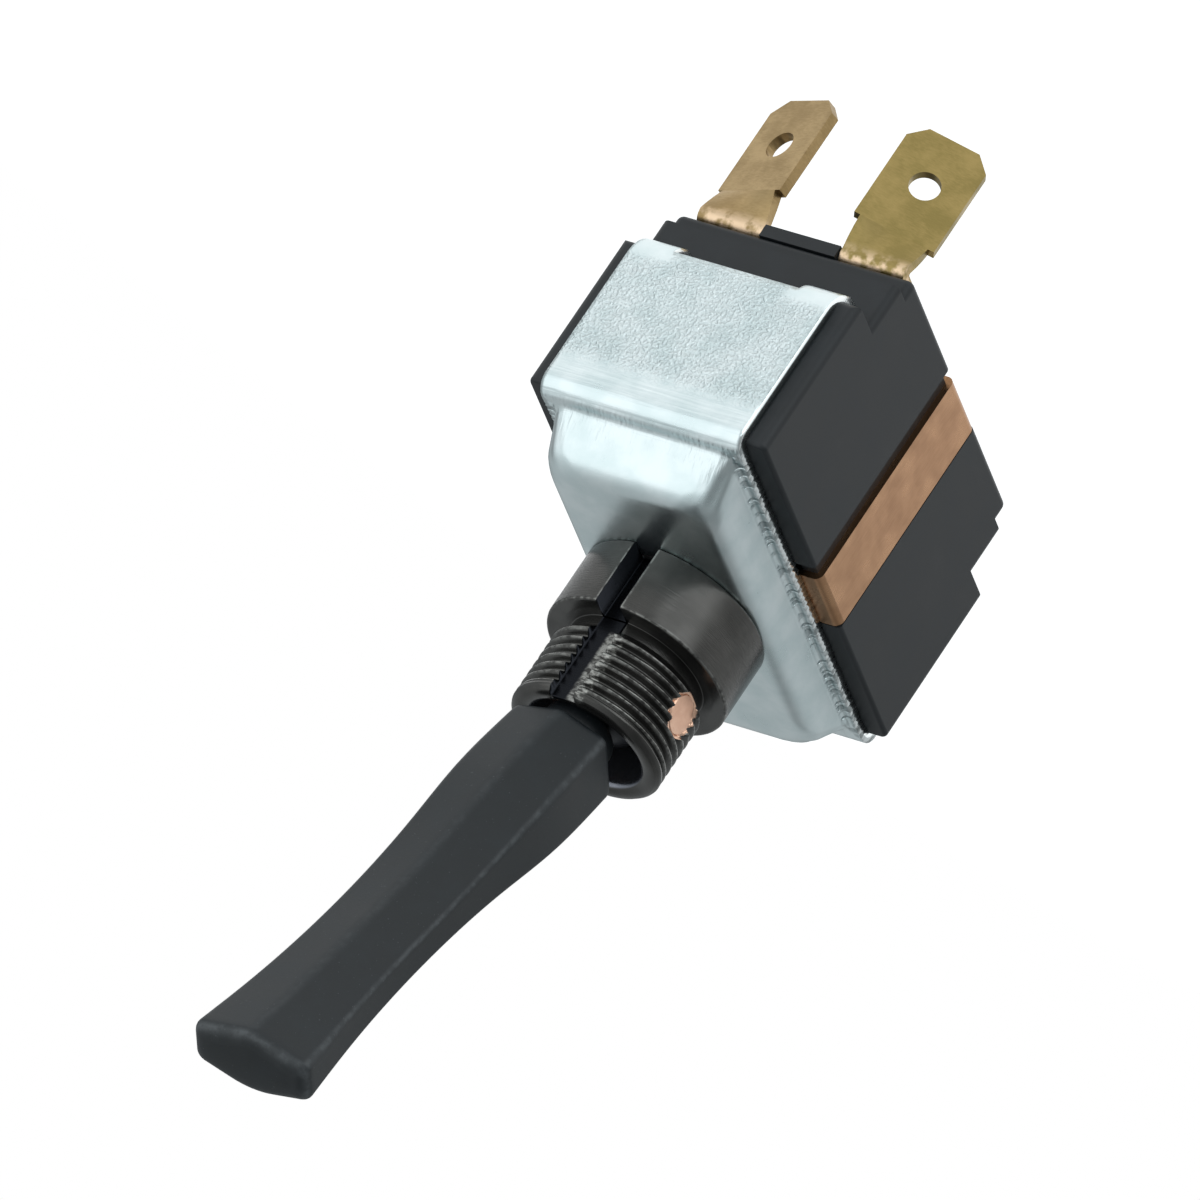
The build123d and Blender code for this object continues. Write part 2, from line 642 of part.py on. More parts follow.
# Blade with its foot. The foot lies on the rear face, the sheet bends up beside the edge, and the
# stem is twisted so that the blade's face is turned away from the other blade.
blade_mid_y = blade_front_y + blade_thickness / 2
with BuildPart() as terminal_plain_side:
    with BuildSketch(Plane.YZ.offset(blade_x - stem_width / 2)):
        with BuildLine():
            FilletPolyline(
                (blade_front_y, stem_start_z),
                (blade_front_y, rear_z),
                (foot_end_y, rear_z),
                radius=foot_bend_radius + blade_thickness,
            )
            Line((foot_end_y, rear_z), (foot_end_y, foot_rear_z))
            FilletPolyline(
                (foot_end_y, foot_rear_z),
                (blade_front_y + blade_thickness, foot_rear_z),
                (blade_front_y + blade_thickness, stem_start_z),
                radius=foot_bend_radius,
            )
            Line((blade_front_y + blade_thickness, stem_start_z), (blade_front_y, stem_start_z))
        make_face()
    extrude(amount=stem_width)
    # Twisted stem
    for step in range(twist_steps + 1):
        share = step / twist_steps
        stem_z = stem_start_z + (stem_end_z - stem_start_z) * share
        stem_plane = Plane(origin=(blade_x, blade_mid_y, stem_z),
                           x_dir=(cos(radians(blade_turn * share)), sin(radians(blade_turn * share)), 0),
                           z_dir=(0, 0, 1))
        with BuildSketch(stem_plane):
            Rectangle(stem_width, blade_thickness)
    loft()
    # Blade with chamfered end and hole
    blade_plane = Plane(origin=(blade_x, blade_mid_y, stem_end_z),
                        x_dir=(cos(radians(blade_turn)), sin(radians(blade_turn)), 0),
                        z_dir=(-sin(radians(blade_turn)), cos(radians(blade_turn)), 0))
    blade_length = stem_end_z - blade_tip_z
    half_blade = blade_width / 2
    with BuildSketch(blade_plane):
        with BuildLine():
            Polyline(
                (-half_blade, 0),
                (half_blade, 0),
                (half_blade, blade_length - blade_chamfer),
                (half_blade - blade_chamfer, blade_length),
                (-half_blade + blade_chamfer, blade_length),
                (-half_blade, blade_length - blade_chamfer),
                close=True,
            )
        make_face()
        with Locations((0, blade_length - blade_hole_from_tip)):
            Circle(blade_hole_radius, mode=Mode.SUBTRACT)
    extrude(amount=blade_thickness / 2, both=True)
    # Hole for the contact rivet
    with Locations((contact_x, contact_y, foot_rear_z)):
        Cylinder(fixed_shank_radius, 4 * blade_thickness, mode=Mode.SUBTRACT)
terminal_plain_side.part.label = "terminal_plain_side"
export_step(terminal_plain_side.part, "parts/terminal_plain_side.step")

with BuildPart() as terminal_strap_side:
    add(mirror(terminal_plain_side.part, about=Plane.YZ))
terminal_strap_side.part.label = "terminal_strap_side"
export_step(terminal_strap_side.part, "parts/terminal_strap_side.step")

# Ground strap: down the -X side, under the bracket in front and folded over the rear edge
with BuildPart() as ground_strap:
    strap_low_y = strap_y - strap_width / 2
    with BuildSketch(Plane.XZ.offset(-strap_low_y)):
        with BuildLine():
            FilletPolyline(
                (strap_front_end_x, front_z),
                (-body_half_x, front_z),
                (-body_half_x, rear_z),
                (strap_rear_end_x, rear_z),
                radius=strap_fold_radius + strap_thickness,
            )
            Line((strap_rear_end_x, rear_z), (strap_rear_end_x, rear_z + strap_thickness))
            FilletPolyline(
                (strap_rear_end_x, rear_z + strap_thickness),
                (strap_x, rear_z + strap_thickness),
                (strap_x, front_z - strap_thickness),
                (strap_front_end_x, front_z - strap_thickness),
                radius=strap_fold_radius,
            )
            Line((strap_front_end_x, front_z - strap_thickness), (strap_front_end_x, front_z))
        make_face()
    extrude(amount=-strap_width)
    with Locations((strap_rivet_x, strap_y, rear_z)):
        Cylinder(strap_rivet_radius, 4 * strap_thickness, mode=Mode.SUBTRACT)
ground_strap.part.label = "ground_strap"
export_step(ground_strap.part, "parts/ground_strap.step")

# Rivet that holds the strap's rear leg to the base
with BuildPart() as strap_rivet:
    with BuildSketch(Plane.XY.offset(rear_z)):
        with Locations((strap_rivet_x, strap_y)):
            Circle(strap_rivet_radius)
    extrude(amount=base_floor_z - rear_z)
    with BuildSketch(Plane.XY.offset(rear_z - rivet_head_height)):
        with Locations((strap_rivet_x, strap_y)):
            Circle(strap_rivet_head_radius)
    extrude(amount=rivet_head_height)
    fillet(strap_rivet.faces().sort_by(Axis.Z)[0].edges(), strap_rivet_rounding)
strap_rivet.part.label = "strap_rivet"
export_step(strap_rivet.part, "parts/strap_rivet.step")

# Insulator plate over the chamber, slotted for the lever's arm and notched for the strap's leg
with BuildPart() as insulator_plate:
    with BuildSketch(Plane.XY.offset(front_z - insulator_thickness)):
        Rectangle(2 * insulator_half_x, 2 * insulator_half_y)
        SlotOverall(2 * insulator_slot_half_y, 2 * insulator_slot_half_x, rotation=90, mode=Mode.SUBTRACT)
        notch_depth = insulator_half_x + strap_front_end_x + 2 * moulded_gap
        with Locations((-insulator_half_x + notch_depth / 2, (groove_low_y + groove_high_y) / 2)):
            Rectangle(notch_depth, groove_high_y - groove_low_y, mode=Mode.SUBTRACT)
    extrude(amount=insulator_thickness)
insulator_plate.part.label = "insulator_plate"
export_step(insulator_plate.part, "parts/insulator_plate.step")
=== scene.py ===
# %% [markdown]
# # A panel toggle switch with a long paddle lever
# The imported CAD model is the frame: it gives every piece its place and its size, in metres. This
# lesson dresses it. A piece whose solid has the right shape only gets a finish. Three pieces get a
# finer surface, worked out with numpy: the threaded bushing, the pressed bracket and the paddle.

# %% The frame
import bmesh
import bpy
import numpy as np
from mathutils import Matrix, Vector


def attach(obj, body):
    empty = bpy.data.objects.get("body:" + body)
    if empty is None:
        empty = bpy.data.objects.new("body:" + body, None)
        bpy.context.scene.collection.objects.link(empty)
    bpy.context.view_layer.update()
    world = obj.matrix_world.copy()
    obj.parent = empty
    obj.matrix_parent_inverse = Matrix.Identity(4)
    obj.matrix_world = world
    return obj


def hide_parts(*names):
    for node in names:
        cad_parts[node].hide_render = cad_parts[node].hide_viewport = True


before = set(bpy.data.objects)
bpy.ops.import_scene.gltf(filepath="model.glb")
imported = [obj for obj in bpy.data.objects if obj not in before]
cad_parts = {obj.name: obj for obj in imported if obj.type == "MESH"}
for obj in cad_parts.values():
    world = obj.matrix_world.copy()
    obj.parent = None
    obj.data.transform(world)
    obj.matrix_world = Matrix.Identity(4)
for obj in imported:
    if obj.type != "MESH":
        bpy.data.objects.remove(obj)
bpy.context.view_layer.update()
MM = 0.001

# %% [markdown]
# ## The camera
# The photograph looks at the switch from the lever's side through a long lens, with the lever
# pointing down to the left. The three rows are the picture's right, its up and the way back to the
# camera, in the frame's own axes. They were found from edges of the housing and the ridges of the
# thread, and so was the distance between the picture's middle and the frame's origin.

# %% Camera
PICTURE_RIGHT = (-0.8207, 0.2726, -0.5022)
PICTURE_UP = (0.2464, -0.6241, -0.7415)
TO_CAMERA = (-0.5156, -0.7322, 0.4450)
MIDDLE_RIGHT = -2.456 * MM
MIDDLE_UP = 4.653 * MM
CAMERA_DISTANCE = 1.5
PIXELS_PER_METRE = 14486.7
PICTURE_WIDTH = 1200
SENSOR_WIDTH = 36.0

rough_axes = np.array([PICTURE_RIGHT, PICTURE_UP, TO_CAMERA])
left, _, right = np.linalg.svd(rough_axes)
picture_axes = left @ right
camera_place = np.array([MIDDLE_RIGHT, MIDDLE_UP, CAMERA_DISTANCE]) @ picture_axes
camera_data = bpy.data.cameras.new("camera")
camera_data.sensor_width = SENSOR_WIDTH
camera_data.lens = PIXELS_PER_METRE * CAMERA_DISTANCE / PICTURE_WIDTH * SENSOR_WIDTH
camera_data.clip_end = 20
camera = bpy.data.objects.new("camera", camera_data)
bpy.context.scene.collection.objects.link(camera)
camera.matrix_world = Matrix.Translation(camera_place) @ Matrix(picture_axes.T.tolist()).to_4x4()
bpy.context.scene.camera = camera
print("lens", round(camera_data.lens), "mm, camera at", np.round(camera_place, 3))

# %% [markdown]
# ## Writing a finish as an expression
# A finish is a node tree. Written node by node it hides what it says, so one small class wraps a
# socket and gives it the signs of arithmetic: `1 - mask` adds the Math node by itself. All other
# nodes come from one method, which takes the node's type, its settings and its sockets.

# %% Socket arithmetic
class Value:
    """A socket in a finish's tree. Arithmetic on it adds Math nodes to that tree."""

    def __init__(self, finish, socket):
        self.finish = finish
        self.socket = socket

    def maths(self, operation, *others):
        """One Math node, with this value first."""
        return self.finish.node("ShaderNodeMath", {"operation": operation}, (self, *others))

    def __add__(self, other):
        return self.maths("ADD", other)

    def __sub__(self, other):
        return self.maths("SUBTRACT", other)

    def __mul__(self, other):
        return self.maths("MULTIPLY", other)

    def __rsub__(self, other):
        return (self * -1) + other

    __radd__ = __add__
    __rmul__ = __mul__

    def ramp(self, low, high):
        """0 below low, 1 above high and smooth between them."""
        settings = {"interpolation_type": "SMOOTHSTEP"}
        sockets = {"Value": self, "From Min": low, "From Max": high}
        return self.finish.node("ShaderNodeMapRange", settings, sockets)


print("arithmetic on a", Value.__name__, "adds Math nodes")

# %% [markdown]
# The tree itself is the second class. Its methods are the few things that every finish here asks
# for: where a point lies, noise, a blend of two colours, relief, and the shader at the end. The
# same class serves the floor and the world, whose trees end in another output.

# %% A finish and its nodes
class Finish:
    """A material or the world, as a tree that the expressions grow in."""

    def __init__(self, owner):
        self.owner = owner
        owner.use_nodes = True
        self.tree = owner.node_tree
        self.tree.nodes.clear()

    def node(self, kind, settings=(), sockets=(), output=0):
        """Add a node of that kind. Settings come first, then the sockets: by number or by name."""
        made = self.tree.nodes.new(kind)
        for key, setting in dict(settings).items():
            setattr(made, key, setting)
        pairs = sockets.items() if isinstance(sockets, dict) else enumerate(sockets)
        for key, value in pairs:
            if isinstance(value, Value):
                self.tree.links.new(value.socket, made.inputs[key])
            else:
                made.inputs[key].default_value = value
        return Value(self, made.outputs[output])

    def place(self):
        """Where a point lies on the switch, in millimetres, as x, y, z."""
        metres = self.node("ShaderNodeTexCoord", output="Object")
        scaled = self.node("ShaderNodeVectorMath", {"operation": "SCALE"}, {0: metres, "Scale": 1 / MM})
        split = self.node("ShaderNodeSeparateXYZ", (), (scaled,))
        parts = [Value(self, socket) for socket in split.socket.node.outputs]
        return scaled, parts

    def noise(self, where, scale, detail=2.0, stretch=(1, 1, 1)):
        """Cloudy noise from 0 to 1. Its scale counts features per millimetre."""
        turned = self.node("ShaderNodeMapping", (), {"Vector": where, "Scale": stretch})
        return self.node("ShaderNodeTexNoise", (), {"Vector": turned, "Scale": scale, "Detail": detail})

    def blend(self, share, first, second):
        """The first colour where share is 0 and the second where it is 1."""
        settings = {"data_type": "RGBA"}
        sockets = {"Factor": share, 6: self.colour(first), 7: self.colour(second)}
        return self.node("ShaderNodeMix", settings, sockets, output=2)

    @staticmethod
    def colour(value):
        """A socket as it is, and three numbers with a full alpha."""
        return value if isinstance(value, Value) else (*value, 1)

    def relief(self, height, depth, strength):
        """A Bump node: height from 0 to 1 stands for depth millimetres."""
        sockets = {"Height": height, "Distance": depth * MM, "Strength": strength}
        return self.node("ShaderNodeBump", (), sockets)

    def surface(self, **sockets):
        """The Principled shader and the output. Underscores in names stand for spaces."""
        named = {}
        for key, value in sockets.items():
            value = self.colour(value) if key == "Base_Color" else value
            named[key.replace("_", " ")] = value
        shader = self.node("ShaderNodeBsdfPrincipled", (), named)
        self.node_output(shader)

    def node_output(self, shader):
        """The output node, with the shader in its Surface socket."""
        kind = "World" if isinstance(self.owner, bpy.types.World) else "Material"
        made = self.tree.nodes.new(f"ShaderNodeOutput{kind}")
        self.tree.links.new(shader.socket, made.inputs["Surface"])


def new_finish(name):
    """An empty finish for a new material."""
    return Finish(bpy.data.materials.new(name))


print("a", Finish.__name__, "holds the tree of a material or the world")

# %% [markdown]
# ## Black moulded plastic
# The housing and the base are black thermoset with a satin skin. Under even light such a part looks dark
# grey, because the skin adds a little white to the black. Two sizes of noise break up the gloss: slow
# patches from the mould, and a fine grain. The paddle is the same plastic. Its rounded edges and tip are
# lighter, partly rubbed by hands and other parts and partly a painted highlight where the edges catch the
# light. Its mesh stores this as an attribute.

# %% Plastic finishes
PATCH_LIGHTER = 1.4
LEAST_WEAR = 0.45
DUST_SHARE = 0.35


def moulded_black(name, colour, roughness, grain_depth, worn_and_highlight_colour=None):
    """Satin plastic. With a worn and highlight colour, it shows where the mesh's wear attribute is high,
    as wear and painted highlight: half evenly and half in spots, and it also makes a few specks of dust."""
    finish = new_finish(name)
    where, _ = finish.place()
    patches = finish.noise(where, 0.35, 3.0)
    grain = finish.noise(where, 9.0, 3.0)
    lighter = tuple(PATCH_LIGHTER * part for part in colour)
    skin = finish.blend(patches.ramp(0.35, 0.75), colour, lighter)
    if worn_and_highlight_colour:
        # The wear attribute stands partly for real wear and partly for a painted highlight on the paddle's
        # rounded edges.
        wear = finish.node("ShaderNodeAttribute", {"attribute_name": "wear"}, output=2)
        rubbed = finish.noise(where, 1.3, 4.0).ramp(0.40, 0.66)
        dust = finish.noise(where, 5.0, 2.0).ramp(0.70, 0.74)
        share = wear * (LEAST_WEAR + (1 - LEAST_WEAR) * rubbed) + DUST_SHARE * dust
        skin = finish.blend(share, skin, worn_and_highlight_colour)
    finish.surface(
        Base_Color=skin,
        Specular_IOR_Level=0.4,
        Roughness=roughness + 0.10 * patches - 0.05 * grain,
        Normal=finish.relief(grain, grain_depth, 0.5),
    )
    return finish.owner


housing_finish = moulded_black("housing_plastic", (0.0110, 0.0137, 0.0160), 0.46, 0.006)
paddle_finish = moulded_black(
    "paddle_plastic", (0.0082, 0.0112, 0.0132), 0.50, 0.010, worn_and_highlight_colour=(0.085, 0.094, 0.100)
)
rocker_finish = moulded_black("rocker_plastic", (0.42, 0.36, 0.26), 0.50, 0.006)
fibre_finish = moulded_black("insulator_fibre", (0.17, 0.15, 0.13), 0.75, 0.015)
print("plastics:", housing_finish.name, paddle_finish.name)

# %% [markdown]
# ## Zinc plated sheet
# The bracket is cold rolled sheet with bright zinc on it. The press leaves its flat top smooth. The tabs
# keep a pebbled skin, which fades out in a smooth band along the bend, where the die has drawn fine lines.
# A bluish cast comes from the zinc's clear bath. The cut edge is torn: short ribs run through the sheet's
# thickness, with painted shade in the hollows between them. The hollows of the pebbles get a little
# painted shade as well. A pair whose name ends in an axis says where a mask begins and where it is full,
# in millimetres.

# %% Bracket finishes
ON_TAB_Y = (16.1, 16.6)
SMOOTH_BAND_Z = (-13.4, -11.6)
EAR_ROOT_X = (4.0, 5.4)
EAR_ROOT_Z = (-22.3, -20.9)
DRAWN_BAND_Z = (-13.6, -11.8)
VALLEY_Y = (13.9, 14.9)
VALLEY_Z = (-9.4, -9.2)
ABOVE_RIM_Z = (-9.0, -8.6)
BELOW_RIM_Z = (-10.4, -10.0)
RIM_EDGE_X = (7.40, 7.60)
RIM_END_Y = (14.8, 15.4)
RIB_STRETCH = (0.4, 1.9, 0.3)
RIB_SHARE = (0.36, 0.54)
ZINC_COLOURS = ((0.65, 0.75, 0.76), (0.77, 0.85, 0.86))
ZINC_HOLLOW_SHADE = (0.28, 0.33, 0.34)


def zinc_sheet():
    """Plated sheet. Masks from the place in millimetres say where it is pebbled, drawn or torn, and where
    its hollows get painted shade.
    """
    finish = new_finish("bracket_zinc")
    where, (x, y, z) = finish.place()
    clouds = finish.noise(where, 0.40, 3.0)
    pebbles = finish.noise(where, 4.4, 1.5).ramp(0.30, 0.70)
    fine = finish.noise(where, 12.0, 2.0)
    die_lines = finish.noise(where, 1.6, 2.0, (0.12, 1.0, 2.4))
    drawn_marks = finish.noise(where, 1.0, 3.0, (3.2, 0.5, 0.4))
    from_middle = y.maths("ABSOLUTE")
    from_side = x.maths("ABSOLUTE")
    on_tab = from_middle.ramp(*ON_TAB_Y)
    below_band = 1 - z.ramp(*SMOOTH_BAND_Z)
    near_ear = (1 - z.ramp(*EAR_ROOT_Z)) * from_side.ramp(*EAR_ROOT_X)
    pebbled = on_tab * below_band * (1 - near_ear)
    below_slope = 1 - z.ramp(*ABOVE_RIM_Z)
    near_bend = z.ramp(*DRAWN_BAND_Z) * below_slope
    in_valley = from_middle.ramp(*VALLEY_Y) * z.ramp(*VALLEY_Z)
    long_edge = from_side.ramp(*RIM_EDGE_X) * (1 - from_middle.ramp(*RIM_END_Y))
    on_rim = long_edge * below_slope * z.ramp(*BELOW_RIM_Z)
    ribs = finish.noise(where, 1.0, 1.0, RIB_STRETCH).ramp(*RIB_SHARE)
    lines = 0.35 * die_lines * near_bend + 0.9 * drawn_marks * in_valley + 1.2 * ribs * on_rim
    height = 0.9 * pebbles * pebbled + 0.05 * fine + 0.30 * clouds + lines
    plated = finish.blend(clouds.ramp(0.3, 0.7), *ZINC_COLOURS)
    # Painted shade: darker between the rim's ribs and in the pebbles' hollows.
    painted_hollow_shade = 0.7 * on_rim * (1 - ribs) + 0.20 * pebbled * (1 - pebbles)
    finish.surface(
        Base_Color=finish.blend(painted_hollow_shade, plated, ZINC_HOLLOW_SHADE),
        Metallic=1.0,
        Roughness=0.24 + 0.10 * clouds + 0.06 * pebbled,
        Normal=finish.relief(height, 0.15, 0.80),
    )
    return finish.owner


def sheared_edge():
    """The sheet's cut edge: smooth on the tabs, and ribbed round the rim, with painted shade between the
    ribs.
    """
    finish = new_finish("bracket_cut_edge")
    where, (_, _, z) = finish.place()
    torn = z.ramp(*BELOW_RIM_Z)
    ribs = 1 - torn * (1 - finish.noise(where, 1.0, 1.0, RIB_STRETCH).ramp(*RIB_SHARE))
    fine = finish.noise(where, 5.0, 3.0)
    finish.surface(
        # The darker colour between the ribs is painted shade.
        Base_Color=finish.blend(ribs, (0.46, 0.50, 0.50), (0.90, 0.94, 0.94)),
        Metallic=1.0,
        Roughness=0.34 - 0.10 * ribs,
        Normal=finish.relief(0.9 * ribs + 0.1 * fine * torn, 0.12, 0.7),
    )
    return finish.owner


zinc_finish = zinc_sheet()
cut_edge_finish = sheared_edge()
print("sheet:", zinc_finish.name, cut_edge_finish.name)

# %% [markdown]
# ## Blackened bushing
# The bushing is turned metal with a thin dark skin. Turning marks run round it, so its gloss is drawn out
# along the axis, and it is worn to a lighter line on its sharp edges. The keyway is painted near black, as
# painted shade in the narrow slot. Beside it a washer's key has scratched the thread on the strap's side.
# Round the pivot pin the copper is spread over the spot face by the riveting.

# %% Bushing finish
PIVOT_Z = 2.6
SPOT_RADIUS = 1.7
SPOT_FACE_X = (5.2, 5.3)
KEYED_FRONT_Y = (-5.3, -4.9)
KEYED_FROM_Z = (0.9, 1.3)
KEYED_FROM_X = (-1.80, -1.65)
KEYED_TO_X = (-0.45, -0.10)
IN_KEYWAY_X = (1.01, 1.04)
IN_KEYWAY_Y = (-4.9, -4.6)
IN_KEYWAY_Z = (-5.6, -5.5)
BORE_RADIUS = (4.55, 4.70)
BLACKENED_COLOURS = ((0.058, 0.057, 0.054), (0.080, 0.078, 0.074))
BORE_COLOUR = (0.20, 0.21, 0.24)
KEYWAY_SHADE_COLOUR = (0.009, 0.010, 0.013)
BARE_METAL = (0.34, 0.34, 0.32)
RIVETED_COPPER = (0.90, 0.57, 0.41)


def blackened_metal():
    """Dark skin over turned metal, with masks from the place for bore, keyway and spot faces."""
    finish = new_finish("bushing_blackened")
    where, (x, y, z) = finish.place()
    turning = finish.noise(where, 3.5, 3.0, (0.2, 0.2, 5.0))
    clouds = finish.noise(where, 0.5, 2.0)
    wear = finish.node("ShaderNodeAttribute", {"attribute_name": "wear"}, output=2)
    rubbed = finish.noise(where, 2.2, 3.0).ramp(0.38, 0.60)
    scratches = finish.noise(where, 2.4, 4.0, (0.8, 1, 2.0)).ramp(0.40, 0.60)
    from_side = x.maths("ABSOLUTE")
    keyed = (1 - y.ramp(*KEYED_FRONT_Y)) * z.ramp(*KEYED_FROM_Z)
    scratched = keyed * x.ramp(*KEYED_FROM_X) * (1 - x.ramp(*KEYED_TO_X))
    in_keyway = (1 - from_side.ramp(*IN_KEYWAY_X)) * (1 - y.ramp(*IN_KEYWAY_Y)) * z.ramp(*IN_KEYWAY_Z)
    from_axis = (x * x + y * y).maths("SQRT")
    skin = finish.blend(clouds.ramp(0.3, 0.7), *BLACKENED_COLOURS)
    skin = finish.blend(from_axis.ramp(*BORE_RADIUS), BORE_COLOUR, skin)
    # Painted shade: the keyway is painted near black.
    dulled = finish.blend(in_keyway * (1 - scratched), skin, KEYWAY_SHADE_COLOUR)
    bare = (0.6 * wear * rubbed * (1 - in_keyway) + 0.9 * scratched * scratches).maths("MINIMUM", 1)
    metal = finish.blend(bare, dulled, BARE_METAL)
    above_pivot = z - PIVOT_Z
    from_pivot = (y * y + above_pivot * above_pivot).maths("SQRT")
    in_spot = 1 - from_pivot.ramp(SPOT_RADIUS - 0.03, SPOT_RADIUS)
    on_spot_face = in_spot * from_side.ramp(*SPOT_FACE_X)
    finish.surface(
        Base_Color=finish.blend(on_spot_face, metal, RIVETED_COPPER),
        Metallic=0.88,
        Roughness=0.20 + 0.10 * turning,
        Normal=finish.relief(turning, 0.02, 0.4),
    )
    return finish.owner


bushing_finish = blackened_metal()
print("bushing:", bushing_finish.name)

# %% [markdown]
# ## Copper and brass
# The strap is dull rolled copper, the blades are stamped brass that has begun to tarnish towards olive,
# and the end of the pivot pin is bare where it was riveted. One function serves them all: a metal whose
# colour wanders between fresh and dulled, with rolling marks along the strip. The blades get a painted
# highlight at the root: a bright band, broken up by noise, where they meet the base.

# %% Copper and brass finishes
BLADE_ROOT_Z = (-30.6, -29.2)
ROOT_HIGHLIGHT_BRASS = (0.88, 0.66, 0.45)
ROLLING_DEPTH = 0.02


def rolled_metal(name, fresh, dulled, roughness, stretch=(1, 1, 1), root_highlight=False):
    """Bare strip or turned metal, which wanders between a fresh and a dulled colour. With root_highlight,
    the blades get a painted highlight at the root.
    """
    finish = new_finish(name)
    where, (_, _, z) = finish.place()
    tarnish = finish.noise(where, 0.45, 3.0)
    rolling = finish.noise(where, 2.5, 3.0, stretch)
    share = (tarnish * 0.7 + rolling * 0.3).ramp(0.34, 0.66)
    metal = finish.blend(share, fresh, dulled)
    if root_highlight:
        # Painted highlight: a bright band at the blades' root.
        torn = finish.noise(where, 1.2, 3.0).ramp(0.36, 0.60)
        metal = finish.blend(z.ramp(*BLADE_ROOT_Z) * torn, metal, ROOT_HIGHLIGHT_BRASS)
    finish.surface(
        Base_Color=metal,
        Metallic=1.0,
        Roughness=roughness + 0.10 * share,
        Normal=finish.relief(rolling, ROLLING_DEPTH, 0.5),
    )
    return finish.owner


ALONG_STRAP = (5, 5, 0.3)
ALONG_BLADE = (1, 1, 3)
strap_finish = rolled_metal(
    "strap_copper", (0.430, 0.243, 0.132), (0.360, 0.196, 0.104), 0.26, ALONG_STRAP
)
pin_finish = rolled_metal("pin_copper", (0.92, 0.60, 0.44), (0.84, 0.52, 0.37), 0.38)
plain_blade_finish = rolled_metal(
    "blade_brass", (0.43, 0.305, 0.150), (0.32, 0.222, 0.102), 0.36, ALONG_BLADE, root_highlight=True
)
strap_blade_finish = rolled_metal(
    "blade_brass_dulled", (0.37, 0.275, 0.105), (0.28, 0.215, 0.075), 0.36, ALONG_BLADE, root_highlight=True
)
brass_finish = rolled_metal("inner_brass", (0.80, 0.62, 0.32), (0.66, 0.50, 0.26), 0.30)
silver_finish = rolled_metal("contact_silver", (0.85, 0.84, 0.80), (0.70, 0.69, 0.66), 0.28)
steel_finish = rolled_metal("plain_steel", (0.56, 0.56, 0.57), (0.42, 0.42, 0.43), 0.32)
# The lever's steel core is painted near black: painted shade where it sits in the gap under the paddle.
core_shade_finish = rolled_metal("steel_core_painted_shade", (0.060, 0.062, 0.065), (0.030, 0.032, 0.035), 0.35)
spring_finish = rolled_metal("spring_steel", (0.62, 0.62, 0.64), (0.48, 0.48, 0.50), 0.26)
print("metals:", strap_finish.name, plain_blade_finish.name, pin_finish.name)

# %% [markdown]
# ## Finishes on the solids that stay
# These nodes keep their solid, because its shape is already right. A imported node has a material
# slot, and the finish goes into it.

# %% Dress the solids
NODE_FINISHES = {
    "housing": housing_finish,
    "terminal_base": housing_finish,
    "pivot_pin": pin_finish,
    "lever_core": core_shade_finish,
    "plunger": brass_finish,
    "plunger_spring": spring_finish,
    "rocker": rocker_finish,
    "rocker_pin": steel_finish,
    "contact_bridge": brass_finish,
    "bridge_rivet": brass_finish,
    "moving_contact_plain_side": silver_finish,
    "moving_contact_strap_side": silver_finish,
    "fixed_contact_plain_side": silver_finish,
    "fixed_contact_strap_side": silver_finish,
    "terminal_plain_side": plain_blade_finish,
    "terminal_strap_side": strap_blade_finish,
    "ground_strap": strap_finish,
    "strap_rivet": strap_finish,
    "insulator_plate": fibre_finish,
}
for node, finish in NODE_FINISHES.items():
    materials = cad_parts[node].data.materials
    materials.clear()
    materials.append(finish)
print("dressed", len(NODE_FINISHES), "solids")

# %% [markdown]
# ## From arrays to a mesh
# Each new piece is a grid of points worked out as whole arrays. The faces are the quads between
# neighbours in the grid. Where a row shrinks to a point, its corners are merged.

# %% Grid helpers
MERGE_DISTANCE = 1e-7


def quads_between(rows, columns, close_rows=False, close_columns=False):
    """Corner numbers of a grid's quads. Points are stored row after row."""
    row, column = np.meshgrid(
        np.arange(rows - (not close_rows)), np.arange(columns - (not close_columns)), indexing="ij"
    )
    next_row, next_column = (row + 1) % rows, (column + 1) % columns
    corners = (
        row * columns + column,
        row * columns + next_column,
        next_row * columns + next_column,
        next_row * columns + column,
    )
    return np.stack(corners, axis=-1).reshape(-1, 4)


def mesh_from(name, points, quads, finishes, wear=None):
    """An object at the origin from points in millimetres and quads. Points that meet are merged and
    the faces turned outwards. Wear, from 0 to 1 a point, is stored as an attribute."""
    mesh = bpy.data.meshes.new(name)
    mesh.vertices.add(len(points))
    mesh.vertices.foreach_set("co", (np.asarray(points, float) * MM).ravel())
    mesh.loops.add(quads.size)
    mesh.loops.foreach_set("vertex_index", quads.astype(np.int32).ravel())
    mesh.polygons.add(len(quads))
    mesh.polygons.foreach_set("loop_start", np.arange(0, quads.size, 4, dtype=np.int32))
    mesh.update(calc_edges=True)
    if wear is not None:
        mesh.attributes.new("wear", "FLOAT", "POINT").data.foreach_set("value", wear.ravel())
    work = bmesh.new()
    work.from_mesh(mesh)
    bmesh.ops.remove_doubles(work, verts=work.verts, dist=MERGE_DISTANCE)
    bmesh.ops.recalc_face_normals(work, faces=work.faces)
    work.to_mesh(mesh)
    work.free()
    mesh.polygons.foreach_set("use_smooth", np.ones(len(mesh.polygons), bool))
    mesh.validate()
    for finish in finishes:
        mesh.materials.append(finish)
    piece = bpy.data.objects.new(name, mesh)
    bpy.context.scene.collection.objects.link(piece)
    print(name, "has", len(mesh.polygons), "faces")
    return piece


def soften(value):
    """3t^2 - 2t^3, with t kept between 0 and 1: a step with soft ends."""
    t = np.clip(value, 0, 1)
    return t * t * (3 - 2 * t)


